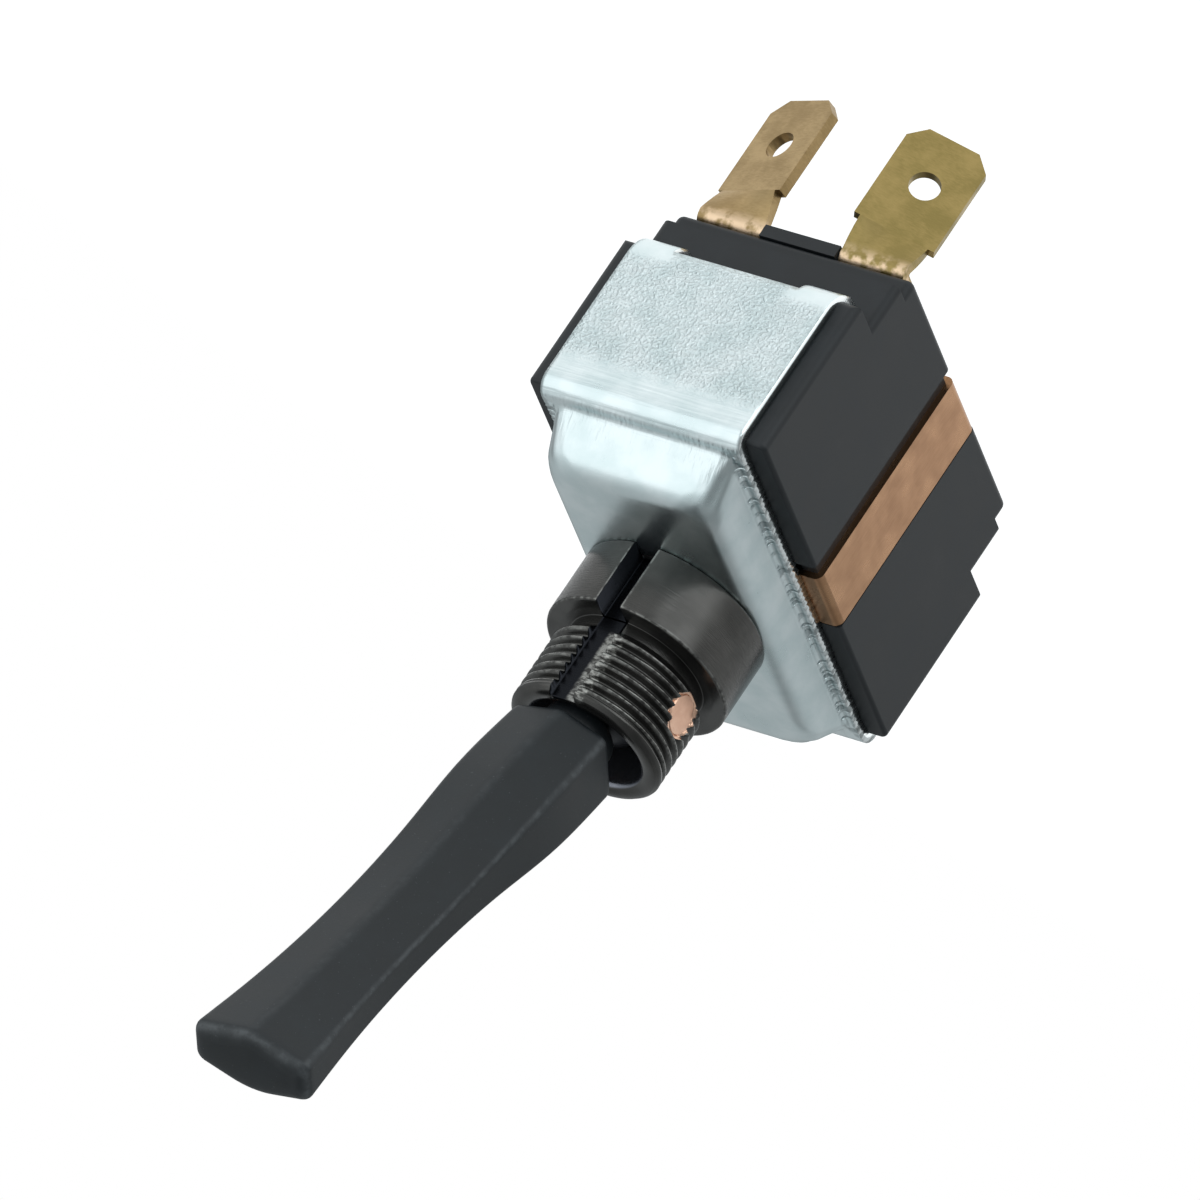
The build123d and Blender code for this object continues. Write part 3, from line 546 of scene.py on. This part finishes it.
def polyline(corners, step):
    """Points along straight runs between corners, about step apart."""
    corners = np.asarray(corners, float)
    runs = [
        np.linspace(start, end, max(2, int(np.ceil(np.linalg.norm(end - start) / step)) + 1))[:-1]
        for start, end in zip(corners[:-1], corners[1:])
    ]
    return np.concatenate([*runs, corners[-1:]])


print("a 2 by 3 grid has", len(quads_between(2, 3)), "quads")

# %% [markdown]
# ## The threaded bushing
# On the lathe the bushing is one profile turned about the axis. The thread is a groove that climbs
# one pitch a turn. A keyway is milled down one side, and the sides are spot faced where the
# pivot pin is riveted. So the radius is a function of the angle and the place on the profile.
# Modelling the groove with a screw modifier would leave the keyway to a Boolean; a formula gives
# both, and clean quads.

# %% Thread
PITCH = 25.4 / 32
GROOVE_DEPTH = 0.48
GROOVE_FLOOR = 0.10
THREAD_RUN = (1.55, 6.62)
THREAD_FADES = (0.3, 0.2)


def thread_depth(angle, z):
    """How deep the groove is cut: a 60 degree V that climbs one pitch a turn, with soft ends."""
    from_middle = np.abs((z / PITCH - angle / (2 * np.pi)) % 1 - 0.5) * PITCH
    flank = (GROOVE_DEPTH / np.sqrt(3)) + GROOVE_FLOOR / 2
    depth = GROOVE_DEPTH * np.clip((flank - from_middle) / (flank - GROOVE_FLOOR / 2), 0, 1)
    rear_end = soften((z - THREAD_RUN[0]) / THREAD_FADES[0])
    front_end = soften((THREAD_RUN[1] - z) / THREAD_FADES[1])
    return depth * (rear_end * front_end)


print("the groove is", thread_depth(np.pi, np.array([PITCH * 4])).max(), "mm deep in its middle")

# %% [markdown]
# The whole skin is one grid. Its last columns are the keyway's floor, so the keyway's walls are
# quads between the turned part and the floor. The rows are close together where the thread and
# the collar show, and further apart in the bore. Wear goes along with the points: it is high on
# the thread's ridges and the collar's edges, where the black has been rubbed off.

# %% Bushing
CREST = 5.953
BUSHING_PROFILE = (
    # radius and height, round the section
    (4.50, 6.95), (4.75, 7.20), (5.60, 7.20), (5.90, 6.90), (CREST, 6.78), (CREST, 1.45),
    (5.80, 1.25), (5.30, 0.85), (5.30, -0.13), (6.10, 0.0), (7.00, 0.0), (7.11, -0.04),
    (7.15, -0.15), (7.15, -5.35), (7.00, -5.50), (5.60, -5.50), (5.60, -6.30), (6.30, -6.30),
    (5.95, -7.10), (4.85, -7.10), (4.50, -6.75), (4.50, 6.90),
)
BUSHING_FRONT_Z = 7.2
BORE_SKIN = 5.0
COLLAR_SKIN = 6.95
COLLAR_REAR_Z = -5.5
KEYWAY_HALF = 1.0
KEYWAY_FLOOR = 5.2
RUBBED_TO = 1.65
RUBBED_FLAT = 5.68
SPOT_X = 5.45
PIN_SUNK = 0.15
PIN_RADIUS = 1.5
KEYWAY_WEAR_WIDTH = 0.12
WORN_WIDTH = 0.07
WORN_EDGES_Z = (-0.09, -5.42)
WORN_CREST = 0.8


def bushing_points(step=0.085, columns=460, floor_columns=14):
    """Profile point (r, z) at angle a from -Y: (r sin a, -r cos a, z), with the groove, the
    keyway's flat floor and the two spot faces cut into it. Beside the keyway, on the strap's side,
    the ridges are rubbed flat."""
    profile = polyline(BUSHING_PROFILE, step)
    outside = (np.abs(profile[:, 1]) < BUSHING_FRONT_Z) & (profile[:, 0] > BORE_SKIN)
    profile = profile[outside | (np.arange(len(profile)) % 6 == 0)]
    radius, z = profile[:, :1], profile[:, 1:]
    edge = np.arcsin(KEYWAY_HALF / radius)
    share = np.linspace(0, 1, columns)
    angle = edge + (2 * np.pi - 2 * edge) * share
    on_thread = (radius > CREST - 0.01) & (z > THREAD_RUN[0] - 0.1) & (z < THREAD_RUN[1] + 0.1)
    depth = np.where(on_thread, thread_depth(angle, z), 0)
    turned = radius - depth
    x, y = turned * np.sin(angle), -turned * np.cos(angle)
    x[:, 0], x[:, -1] = KEYWAY_HALF, -KEYWAY_HALF
    rubbed = on_thread & (x < 0) & (x > -RUBBED_TO) & (y < 0)
    y = np.where(rubbed, np.maximum(y, -RUBBED_FLAT), y)
    from_pivot = np.hypot(y, z - PIVOT_Z)
    flat = np.where(from_pivot < PIN_RADIUS, SPOT_X - PIN_SUNK, SPOT_X)
    spotted = (np.abs(x) > flat) & (from_pivot < SPOT_RADIUS) & (radius > BORE_SKIN)
    x = np.where(spotted, np.sign(x) * flat, x)
    floor_x = np.linspace(-KEYWAY_HALF, KEYWAY_HALF, floor_columns) * np.ones_like(radius)
    milled = (z > COLLAR_REAR_Z - 0.01) & (radius > BORE_SKIN)
    round_y = np.sqrt(radius**2 - floor_x**2)
    floor_y = -np.where(milled, np.minimum(round_y, KEYWAY_FLOOR), round_y)
    all_x = np.concatenate([x, floor_x], axis=1)
    all_y = np.concatenate([y, floor_y], axis=1)
    all_z = z * np.ones_like(all_x)
    crest = WORN_CREST * on_thread * np.exp(-((depth / WORN_WIDTH) ** 2)) * (z < THREAD_RUN[1] - 0.2)
    from_edges = (z - np.array(WORN_EDGES_Z)) / WORN_WIDTH
    collar_edge = np.exp(-(from_edges**2)).sum(axis=1, keepdims=True)
    collar_edge = collar_edge * (radius > COLLAR_SKIN) * np.ones_like(x)
    beside_keyway = (np.abs(x) < KEYWAY_HALF + KEYWAY_WEAR_WIDTH) * (y < 0) * (radius > COLLAR_SKIN)
    wear = np.clip(np.maximum(np.maximum(crest, collar_edge), beside_keyway), 0, 1)
    wear = np.concatenate([wear, 0 * floor_x], axis=1)
    return np.stack([all_x, all_y, all_z], axis=-1), wear


grid, wear = bushing_points()
quads = quads_between(*grid.shape[:2], close_rows=True, close_columns=True)
bushing = mesh_from("threaded_bushing", grid.reshape(-1, 3), quads, [bushing_finish], wear)
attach(bushing, "switch_body")
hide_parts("bushing")

# %% [markdown]
# ## The paddle
# The lever's paddle is moulded: wide and thick where it leaves the bushing, waisted in the middle
# and flared again at the tip. Across it is a flat hexagon: a soft ridge runs down the middle of
# each wide face, and the corners beside the narrow sides are rounded. It is turned a little about
# the lever, and the lever leans towards the keyway's side at rest.

# %% Paddle sizes
LEVER_TILT = np.radians(15)
PADDLE_ROLL = np.radians(6)
PADDLE_SECTIONS = np.array([
    # from the pivot, width, thickness at the sides, corner
    (7.3, 7.70, 5.10, 0.75),
    (13.8, 8.00, 4.70, 0.65),
    (19.6, 7.60, 3.50, 0.50),
    (26.0, 7.40, 2.60, 0.50),
    (32.2, 7.45, 2.55, 0.50),
    (39.0, 8.25, 2.75, 0.55),
    (44.4, 9.40, 3.20, 0.80),
])


def natural_spline(stations, values, at):
    """The smooth curve through values at stations: a cubic between each pair, whose bends match.
    The bends solve a set of equations, one for each station."""
    step = np.diff(stations)
    count = len(stations)
    system = np.eye(count)
    inner = np.arange(1, count - 1)
    system[inner, inner - 1] = step[:-1]
    system[inner, inner] = 2 * (step[:-1] + step[1:])
    system[inner, inner + 1] = step[1:]
    rise = np.diff(values) / step
    wanted = np.zeros(count)
    wanted[1:-1] = 6 * np.diff(rise)
    bend = np.linalg.solve(system, wanted)
    part = np.clip(np.searchsorted(stations, at) - 1, 0, count - 2)
    width = step[part]
    a = (stations[part + 1] - at) / width
    b = 1 - a
    curve = ((a**3 - a) * bend[part] + (b**3 - b) * bend[part + 1]) * width**2 / 6
    return a * values[part] + b * values[part + 1] + curve


def along_lever(points):
    """Points drawn with Z along the lever, turned to where it stands at rest: y becomes
    y cos t - z sin t, and z becomes y sin t + z cos t above the pivot."""
    c, s = np.cos(LEVER_TILT), np.sin(LEVER_TILT)
    x, y, z = points[..., 0], points[..., 1], points[..., 2]
    return np.stack([x, y * c - z * s, PIVOT_Z + y * s + z * c], axis=-1)


print("the paddle's sizes are given at", len(PADDLE_SECTIONS), "places")

# %% [markdown]
# One function draws all sections at once, a ring of points for each row of sizes. The ridge is
# sharper on the face towards the keyway and almost gone on the other face, so each corner has a
# radius of its own.

# %% Hexagon sections
RIDGE_HEIGHT = 1.2
KEYWAY_SIDE_RIDGE = 2.0
FAR_SIDE_RIDGE = 6.5
RIDGE_WEAR_AND_HIGHLIGHT = 0.3


def hexagon_rings(width, thickness, corner, arc_count=9, run_count=7):
    """One closed ring for each row of sizes. Each corner of the flat hexagon gives way to an arc that
    touches both its sides: the arc's centre lies r / cos(turn / 2) in from the corner. The straight runs
    between arcs are divided evenly. Also returned is the wear and painted highlight of each column: 1 in
    the middle of a side corner's arc, less on the ridges, 0 on the runs."""
    middle, half_x, half_y = 0 * width, width / 2, thickness / 2
    ridge = half_y + RIDGE_HEIGHT
    corner_x = np.stack([half_x, middle, -half_x, -half_x, middle, half_x], axis=1)
    corner_y = np.stack([half_y, ridge, half_y, -half_y, -ridge, -half_y], axis=1)
    corners = np.stack([corner_x, corner_y], axis=-1)
    far, near = np.full_like(width, FAR_SIDE_RIDGE), np.full_like(width, KEYWAY_SIDE_RIDGE)
    radius = np.stack([corner, far, corner, corner, near, corner], axis=1)[..., None]
    side = np.roll(corners, -1, axis=1) - corners
    leaving = np.arctan2(side[..., 1], side[..., 0]) - np.pi / 2
    arriving = np.roll(leaving, 1, axis=1)
    turn = (leaving - arriving) % (2 * np.pi)
    inwards = np.stack([np.cos(arriving + turn / 2), np.sin(arriving + turn / 2)], axis=-1)
    centre = corners - inwards * radius / np.cos(turn / 2)[..., None]
    share = np.linspace(0, 1, arc_count)
    angle = arriving[..., None] + turn[..., None] * share
    arcs = centre[:, :, None] + radius[..., None] * np.stack([np.cos(angle), np.sin(angle)], axis=-1)
    start, end = arcs[:, :, -1:], np.roll(arcs, -1, axis=1)[:, :, :1]
    runs = start + (end - start) * np.linspace(0, 1, run_count + 2)[1:-1, None]
    rings = np.concatenate([arcs, runs], axis=2).reshape(len(width), -1, 2)
    corner_wear = np.array([1, RIDGE_WEAR_AND_HIGHLIGHT, 1, 1, RIDGE_WEAR_AND_HIGHLIGHT, 1])
    arc_wear = corner_wear[:, None] * np.sin(np.pi * share) ** 2
    column_wear = np.concatenate([arc_wear, np.zeros((6, run_count))], axis=1).ravel()
    return rings, column_wear


sample_rings, _ = hexagon_rings(*PADDLE_SECTIONS[:, 1:].T)
print("each section has", sample_rings.shape[1], "points")

# %% [markdown]
# The paddle is these sections set one after another along the lever. Its ends could be rounded
# with a Bevel modifier, but its width would then depend on the mesh. Here the first and last rows
# follow quarter circles, which gives the small even edge of a moulded part.

# %% Paddle
BASE_PLACE = 6.2
BASE_EDGE = 0.9
TIP_PLACE = 44.95
TIP_EDGE = 0.95
TIP_DOME = 0.12
TIP_WEAR_AND_HIGHLIGHT = 0.8
SIDE_WEAR_AND_HIGHLIGHT = 0.7
CAP_SCALES = (0, 0.3, 0.6, 0.85)


def paddle_points(rows=120):
    """Hexagons along the lever. A row has a place along the lever, how far it lies in from the
    side, and a scale. Quarter circles round off both ends, and rows that shrink to a point close
    them: the base flat, the tip with a low dome."""
    first, last = BASE_PLACE, TIP_PLACE - TIP_EDGE
    quarter = np.linspace(0, np.pi / 2, 9)
    cap = np.array(CAP_SCALES)
    run = np.linspace(first + BASE_EDGE, last, rows)[1:-1]
    parts = (
        # place along the lever, how far in, scale
        (first + 0 * cap, BASE_EDGE + 0 * cap, cap),
        (first + BASE_EDGE * (1 - np.cos(quarter)), BASE_EDGE * (1 - np.sin(quarter)), 1 + 0 * quarter),
        (run, 0 * run, 1 + 0 * run),
        (last + TIP_EDGE * np.sin(quarter), TIP_EDGE * (1 - np.cos(quarter)), 1 + 0 * quarter),
        (last + TIP_EDGE + TIP_DOME * (1 - cap[::-1] ** 2), TIP_EDGE + 0 * cap, cap[::-1]),
    )
    place, inset, scale = (np.concatenate(values) for values in zip(*parts))
    sized_at = np.clip(place, PADDLE_SECTIONS[0, 0], PADDLE_SECTIONS[-1, 0])
    width, thickness, corner = (
        natural_spline(PADDLE_SECTIONS[:, 0], PADDLE_SECTIONS[:, column], sized_at) for column in (1, 2, 3)
    )
    rings, column_wear = hexagon_rings(width - 2 * inset, thickness - 2 * inset, corner)
    rings = rings * scale[:, None, None]
    # The tip's edge and the side corners get wear and a painted highlight, shown lighter by the finish.
    tip_wear = TIP_WEAR_AND_HIGHLIGHT * np.exp(-(((place - last - 0.6 * TIP_EDGE) / 0.25) ** 2)) * (scale == 1)
    along = (scale == 1) * (place < last + 0.3 * TIP_EDGE)
    wear = np.maximum(SIDE_WEAR_AND_HIGHLIGHT * column_wear * along[:, None], tip_wear[:, None])
    c, s = np.cos(PADDLE_ROLL), np.sin(PADDLE_ROLL)
    x = rings[..., 0] * c + rings[..., 1] * s
    y = rings[..., 1] * c - rings[..., 0] * s
    return along_lever(np.stack([x, y, place[:, None] + 0 * x], axis=-1)), wear


grid, wear = paddle_points()
quads = quads_between(*grid.shape[:2], close_columns=True)
paddle = mesh_from("lever_handle", grid.reshape(-1, 3), quads, [paddle_finish], wear)
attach(paddle, "lever")
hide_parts("lever_paddle")

# %% [markdown]
# The paddle's shank goes down into the bushing and closes round the steel core. It is a short
# turned length with a soft lower edge.

# %% Shank
CORE_RADIUS = 1.5
SHANK_RADIUS = 2.8
SHANK_BORE = CORE_RADIUS + 0.01
SHANK_EDGE = 0.3
SHANK_CUT = 0.09
SHANK_RUN = (4.4, 7.6)


def turned_points(profile, columns=96):
    """Profile point (r, z) at angle a: (r cos a, r sin a, z)."""
    angle = np.linspace(0, 2 * np.pi, columns, endpoint=False)
    radius, z = np.array(profile, float).T
    x, y = radius[:, None] * np.cos(angle), radius[:, None] * np.sin(angle)
    return np.stack([x, y, z[:, None] * np.ones_like(x)], axis=-1)


shank_profile = (
    (SHANK_BORE, SHANK_RUN[0]), (SHANK_RADIUS - SHANK_EDGE, SHANK_RUN[0]),
    (SHANK_RADIUS - SHANK_CUT, SHANK_RUN[0] + SHANK_CUT), (SHANK_RADIUS, SHANK_RUN[0] + SHANK_EDGE),
    (SHANK_RADIUS, SHANK_RUN[1]), (SHANK_BORE, SHANK_RUN[1]),
)
grid = along_lever(turned_points(shank_profile))
quads = quads_between(*grid.shape[:2], close_rows=True, close_columns=True)
shank = mesh_from("lever_shank", grid.reshape(-1, 3), quads, [paddle_finish])
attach(shank, "lever")
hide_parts("lever_paddle")

# %% [markdown]
# ## The pressed bracket
# One sheet makes it all: a raised platform, a flat rim, two tabs bent down over the ends of the
# housing, and four ears folded round its shoulders. The outer skin is one grid of rings for the
# platform and one strip for each tab, joined where the rim meets the bend. A Solidify modifier
# then gives the skin the sheet's thickness, so the hollow side is right as well, and it paints
# the cut edge with a finish of its own.

# %% Bracket sizes
SHEET = 0.8
RIM_Z = -9.2
TOP_Z = -5.5
RIM_HALF_X = 8.3
FOOT_X = 7.65
FOOT_Y = 15.25
FOOT_CORNER = 1.4
TOP_CORNER = 2.7
BEND_Y = 15.7
HOLE_RADIUS = 5.7
TORN_DEPTH = 0.14
TORN_END = 0.8
RIB_PITCH = 0.55
CREASE_DEPTH = 0.07
# how far a slope leans in, then the radii of its foot and of its top
SIDE_SLOPE = (0.40, (0.25, 1.5))
END_SLOPE = (1.70, (0.65, 2.3))
# columns along an end, along a side and round a corner
RING_COLUMNS = (50, 190, 21)
HOLE_RINGS = 10


def rounded_ring(end_count, side_count, corner_count):
    """The pattern of a rounded rectangle: for each column, where it lies on the inner rectangle
    (from -1 to 1) and the direction in which the corner radius is added. Each quarter is a corner
    and then an end or a side. A quarter turn takes (u, v) to (-v, u)."""
    across, up, angles = [], [], []
    for quarter, count in enumerate((end_count, side_count, end_count, side_count)):
        u = np.concatenate([np.ones(corner_count), np.linspace(1, -1, count + 2)[1:-1]])
        v = np.ones(corner_count + count)
        turn = np.concatenate([np.linspace(0, np.pi / 2, corner_count), np.full(count, np.pi / 2)])
        turned = ((u, v), (-v, u), (-u, -v), (v, -u))[quarter]
        across.append(turned[0])
        up.append(turned[1])
        angles.append(turn + quarter * np.pi / 2)
    return np.concatenate(across), np.concatenate(up), np.concatenate(angles)


ring_pattern = rounded_ring(*RING_COLUMNS)
print("a ring of the platform has", len(ring_pattern[0]), "points")

# %% [markdown]
# The platform's slope is steep on the long sides, where the rim has little room, and long at the
# ends. Each ring lies a little further in and higher than the one before. A box with a Bevel
# modifier would have the same slope all round, so the section is worked out here and changes
# with the direction.

# %% Platform
def slope_profile(run, rise, foot_radius, top_radius, count=9):
    """The section of a pressed slope, as insets and heights: a rounded foot, a straight flank and
    a rounded top. Both roundings touch the flank, whose lean follows from run and rise."""
    lean = np.arctan2(rise, run)
    foot_reach = foot_radius * np.tan(lean / 2)
    top_reach = top_radius * np.tan(lean / 2)
    turn = np.linspace(0, lean, count)
    back = turn[::-1]
    foot_inset = foot_radius * np.sin(turn) - foot_reach
    top_inset = run + top_reach - top_radius * np.sin(back)
    foot_height = foot_radius * (1 - np.cos(turn))
    top_height = rise - top_radius * (1 - np.cos(back))
    return np.concatenate([foot_inset, top_inset]), np.concatenate([foot_height, top_height])


def platform_points(pattern):
    """Rings from the rim's edge to the hole. The slope's section changes between the steep one on
    the long sides and the long one at the ends by sin^2 of the ring's direction a. At a corner the
    rim's edge is (cos a, sin a) / max(|cos a|, |sin a|), a square. The rim's long edges are torn
    a little, and the corners of the slope are creased."""
    across, up, angle = pattern
    rise = TOP_Z - RIM_Z
    side_inset, side_height = slope_profile(SIDE_SLOPE[0], rise, *SIDE_SLOPE[1])
    end_inset, end_height = slope_profile(END_SLOPE[0], rise, *END_SLOPE[1])
    to_end = np.sin(angle) ** 2
    height = side_height[:, None] * (1 - to_end) + end_height[:, None] * to_end
    level = height / rise
    corner = FOOT_CORNER + (TOP_CORNER - FOOT_CORNER) * level
    crease = CREASE_DEPTH * np.sin(2 * angle) ** 2 * np.sin(11 * angle) * np.sin(np.pi * level)
    x = across * (FOOT_X - side_inset[:, None] - corner) + (corner + crease) * np.cos(angle)
    y = up * (FOOT_Y - end_inset[:, None] - corner) + (corner + crease) * np.sin(angle)
    slope = np.stack([x, y, RIM_Z + height], axis=-1)
    middle_x, middle_y = FOOT_X - FOOT_CORNER, FOOT_Y - FOOT_CORNER
    to_square = 1 / np.maximum(np.abs(np.cos(angle)), np.abs(np.sin(angle)))
    rim_x = across * middle_x + (RIM_HALF_X - middle_x) * np.cos(angle) * to_square
    rim_y = up * middle_y + (BEND_Y - middle_y) * np.sin(angle) * to_square
    tear = np.abs(np.sin(np.pi * rim_y / RIB_PITCH + 0.9 * np.sin(1.3 * rim_y)))
    tear *= TORN_DEPTH * (0.5 + 0.5 * np.sin(0.9 * rim_y + 1) ** 2)
    tear *= (np.abs(rim_x) > RIM_HALF_X - 0.01) * soften((BEND_Y - np.abs(rim_y)) / TORN_END)
    rim = np.stack([rim_x - np.sign(rim_x) * tear, rim_y, np.full_like(rim_x, RIM_Z)], axis=-1)
    inner = slope[-1]
    around = np.arctan2(inner[:, 1] / FOOT_Y, inner[:, 0] / FOOT_X)
    hole = np.stack([HOLE_RADIUS * np.cos(around), HOLE_RADIUS * np.sin(around), inner[:, 2]], axis=-1)
    share = np.linspace(0, 1, HOLE_RINGS)[1:, None, None]
    return np.concatenate([rim[None], slope, inner * (1 - share) + hole * share])


platform = platform_points(ring_pattern)
print("the platform has", len(platform), "rings")

# %% [markdown]
# A tab starts where the rim ends, with the same columns, so the two grids merge there. Its path
# goes round the bend, down the end of the housing, and on round the shoulder, where only the
# columns of the ears go on.

# %% Tabs and ears
TAB_Y = 17.0
TAB_END_Z = -22.9
EAR_REAR_Z = -24.35
EAR_BEND = 2.6
EAR_END_Y = 13.6
EAR_INNER_X = 5.2
PATH_STEP = 0.6


def arc(centre, radius, start, end, count):
    """Points on a circle from one angle to another, in degrees."""
    angle = np.radians(np.linspace(start, end, count))
    return np.stack([centre[0] + radius * np.cos(angle), centre[1] + radius * np.sin(angle)], axis=-1)


def tab_strip(rim):
    """One tab with its ears: the rim's end columns carried along a path in y and z. Past the tab's
    end only the quads outside the ears' inner edge are kept."""
    bend = TAB_Y - BEND_Y
    ear_start_z = EAR_REAR_Z + EAR_BEND
    tab_turn = np.degrees(np.arcsin((TAB_END_Z - ear_start_z) / EAR_BEND))
    ear_middle = (TAB_Y - EAR_BEND, ear_start_z)
    tab_path = np.concatenate([
        arc((BEND_Y, RIM_Z - bend), bend, 90, 0, 14),
        polyline(((TAB_Y, RIM_Z - bend - PATH_STEP), (TAB_Y, ear_start_z)), PATH_STEP),
        arc(ear_middle, EAR_BEND, tab_turn / 2, tab_turn, 2),
    ])
    ear_path = np.concatenate([
        arc(ear_middle, EAR_BEND, tab_turn, -90, 12)[1:],
        polyline(((TAB_Y - EAR_BEND - 0.5, EAR_REAR_Z), (EAR_END_Y, EAR_REAR_Z)), PATH_STEP),
    ])
    on_end = np.abs(rim[:, 1] - BEND_Y) < 1e-6
    seam_x = np.unique(np.round(rim[on_end, 0], 6))
    ear_x = seam_x[np.argmin(np.abs(seam_x - EAR_INNER_X))]
    path = np.concatenate([tab_path, ear_path])
    wide = np.ones(len(seam_x))
    points = np.stack([np.ones((len(path), 1)) * seam_x, path[:, :1] * wide, path[:, 1:] * wide], axis=-1)
    quads = quads_between(*points.shape[:2])
    row, column = quads[:, 0] // len(seam_x), quads[:, 0] % len(seam_x)
    middle_x = (seam_x[column] + seam_x[column + 1]) / 2
    return points.reshape(-1, 3), quads[(row < len(tab_path) - 1) | (np.abs(middle_x) > ear_x)]


strip, strip_quads = tab_strip(platform[0])
skin_points = np.concatenate([platform.reshape(-1, 3), strip, strip * (1, -1, 1)])
platform_count = len(platform) * platform.shape[1]
skin_quads = np.concatenate([
    quads_between(*platform.shape[:2], close_columns=True),
    strip_quads + platform_count,
    strip_quads + platform_count + len(strip),
])
bracket = mesh_from("pressed_bracket", skin_points, skin_quads, [zinc_finish, cut_edge_finish])
thickness = bracket.modifiers.new("sheet", "SOLIDIFY")
thickness.thickness = SHEET * MM
thickness.offset = -1
thickness.material_offset_rim = 1
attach(bracket, "switch_body")
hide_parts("bracket")

# %% [markdown]
# ## The studio
# The photograph has a plain white background. The floor is pale, and some way below the switch,
# because a panel would hold it. It could be lit until it looks white, but that light would reach
# the switch too. So the floor glows only for the camera and in reflections, and it keeps the
# switch's shadow.

# %% Floor
FLOOR_Z = -0.12
FLOOR_RADIUS = 0.24
FLOOR_SIDES = 64
FLOOR_COLOUR = (0.82, 0.82, 0.82, 1)
FLOOR_GLOW = 0.66
WHITE = (1, 1, 1, 1)


def seen_by(finish, *kinds):
    """1 for the kinds of ray that are named, and 0 for others."""
    ray = finish.node("ShaderNodeLightPath")
    shares = [Value(finish, ray.socket.node.outputs[f"Is {kind} Ray"]) for kind in kinds]
    return sum(shares[1:], shares[0]).maths("MINIMUM", 1)


floor_finish = new_finish("studio_floor")
pale = floor_finish.node("ShaderNodeBsdfDiffuse", (), {"Color": FLOOR_COLOUR})
glow_level = FLOOR_GLOW * seen_by(floor_finish, "Camera", "Glossy", "Transmission")
glow = floor_finish.node("ShaderNodeEmission", (), {"Color": WHITE, "Strength": glow_level})
floor_finish.node_output(floor_finish.node("ShaderNodeAddShader", (), (pale, glow)))
disc = turned_points(((0, FLOOR_Z / MM), (FLOOR_RADIUS / MM, FLOOR_Z / MM)), FLOOR_SIDES)
floor_quads = quads_between(2, FLOOR_SIDES, close_columns=True)
floor = mesh_from("studio_floor", disc.reshape(-1, 3), floor_quads, [floor_finish.owner])

# %% [markdown]
# The light is soft and comes from the keyway's side, so the bracket's near slope is almost white
# while its top and its strap side stay mid grey. Bare metal shows what it mirrors, and a single
# even world would leave it flat. So the world has a few soft patches, one for each way in which
# the photograph shows a bright reflection. The camera itself sees plain white.

# %% World
ROOM_LEVEL = 0.26
ROOM_COLOUR = (0.93, 0.98, 1.0, 1)
SOFT_PATCHES = (
    # way to its middle, cosine where it starts, cosine where it is full, level
    ((0.516, -0.788, 0.332), 0.00, 0.95, 0.61),
    ((0.516, 0.732, 0.445), 0.70, 0.97, 0.22),
    ((-0.609, 0.732, -0.297), 0.40, 0.95, 0.26),
    ((-0.660, -0.610, -0.440), 0.84, 0.985, 2.40),
    ((0.516, -0.732, -0.445), 0.85, 0.99, 0.10),
)
world = bpy.data.worlds.new("studio")
bpy.context.scene.world = world
studio = Finish(world)
direction = studio.node("ShaderNodeTexCoord", output="Generated")
level = ROOM_LEVEL
for way, starts, full, strength in SOFT_PATCHES:
    settings = {"operation": "DOT_PRODUCT"}
    towards = studio.node("ShaderNodeVectorMath", settings, {0: direction, 1: way}, output="Value")
    level = level + strength * towards.ramp(starts, full)
soft = studio.node("ShaderNodeBackground", (), {"Color": ROOM_COLOUR, "Strength": level})
white = studio.node("ShaderNodeBackground", (), {"Color": WHITE, "Strength": 1.0})
behind = seen_by(studio, "Camera", "Transmission")
studio.node_output(studio.node("ShaderNodeMixShader", (), (behind, soft, white)))
print("the world has", len(SOFT_PATCHES), "soft patches")

# %% [markdown]
# One weak lamp stands on the side that is lit in the photograph. It is wider than it is far away,
# so it adds the shading of the black plastic without a hard shadow or a clipped highlight.

# %% Lamp
KEY_WAY = Vector((0.45, -0.80, 0.40)).normalized()
KEY_DISTANCE = 0.45
KEY_WIDTH = 0.60
KEY_WATTS = 0.36
key_data = bpy.data.lights.new("key", "AREA")
key_data.shape = "DISK"
key_data.size = KEY_WIDTH
key_data.energy = KEY_WATTS
key = bpy.data.objects.new("key", key_data)
bpy.context.scene.collection.objects.link(key)
key.location = KEY_WAY * KEY_DISTANCE
key.rotation_euler = KEY_WAY.to_track_quat("Z", "Y").to_euler()
key.visible_camera = False
print("one lamp of", KEY_WATTS, "W")

# %% [markdown]
# ## The end
# The Standard view shows a colour as it is written.

# %% Picture settings and the end
bpy.context.scene.view_settings.view_transform = "Standard"
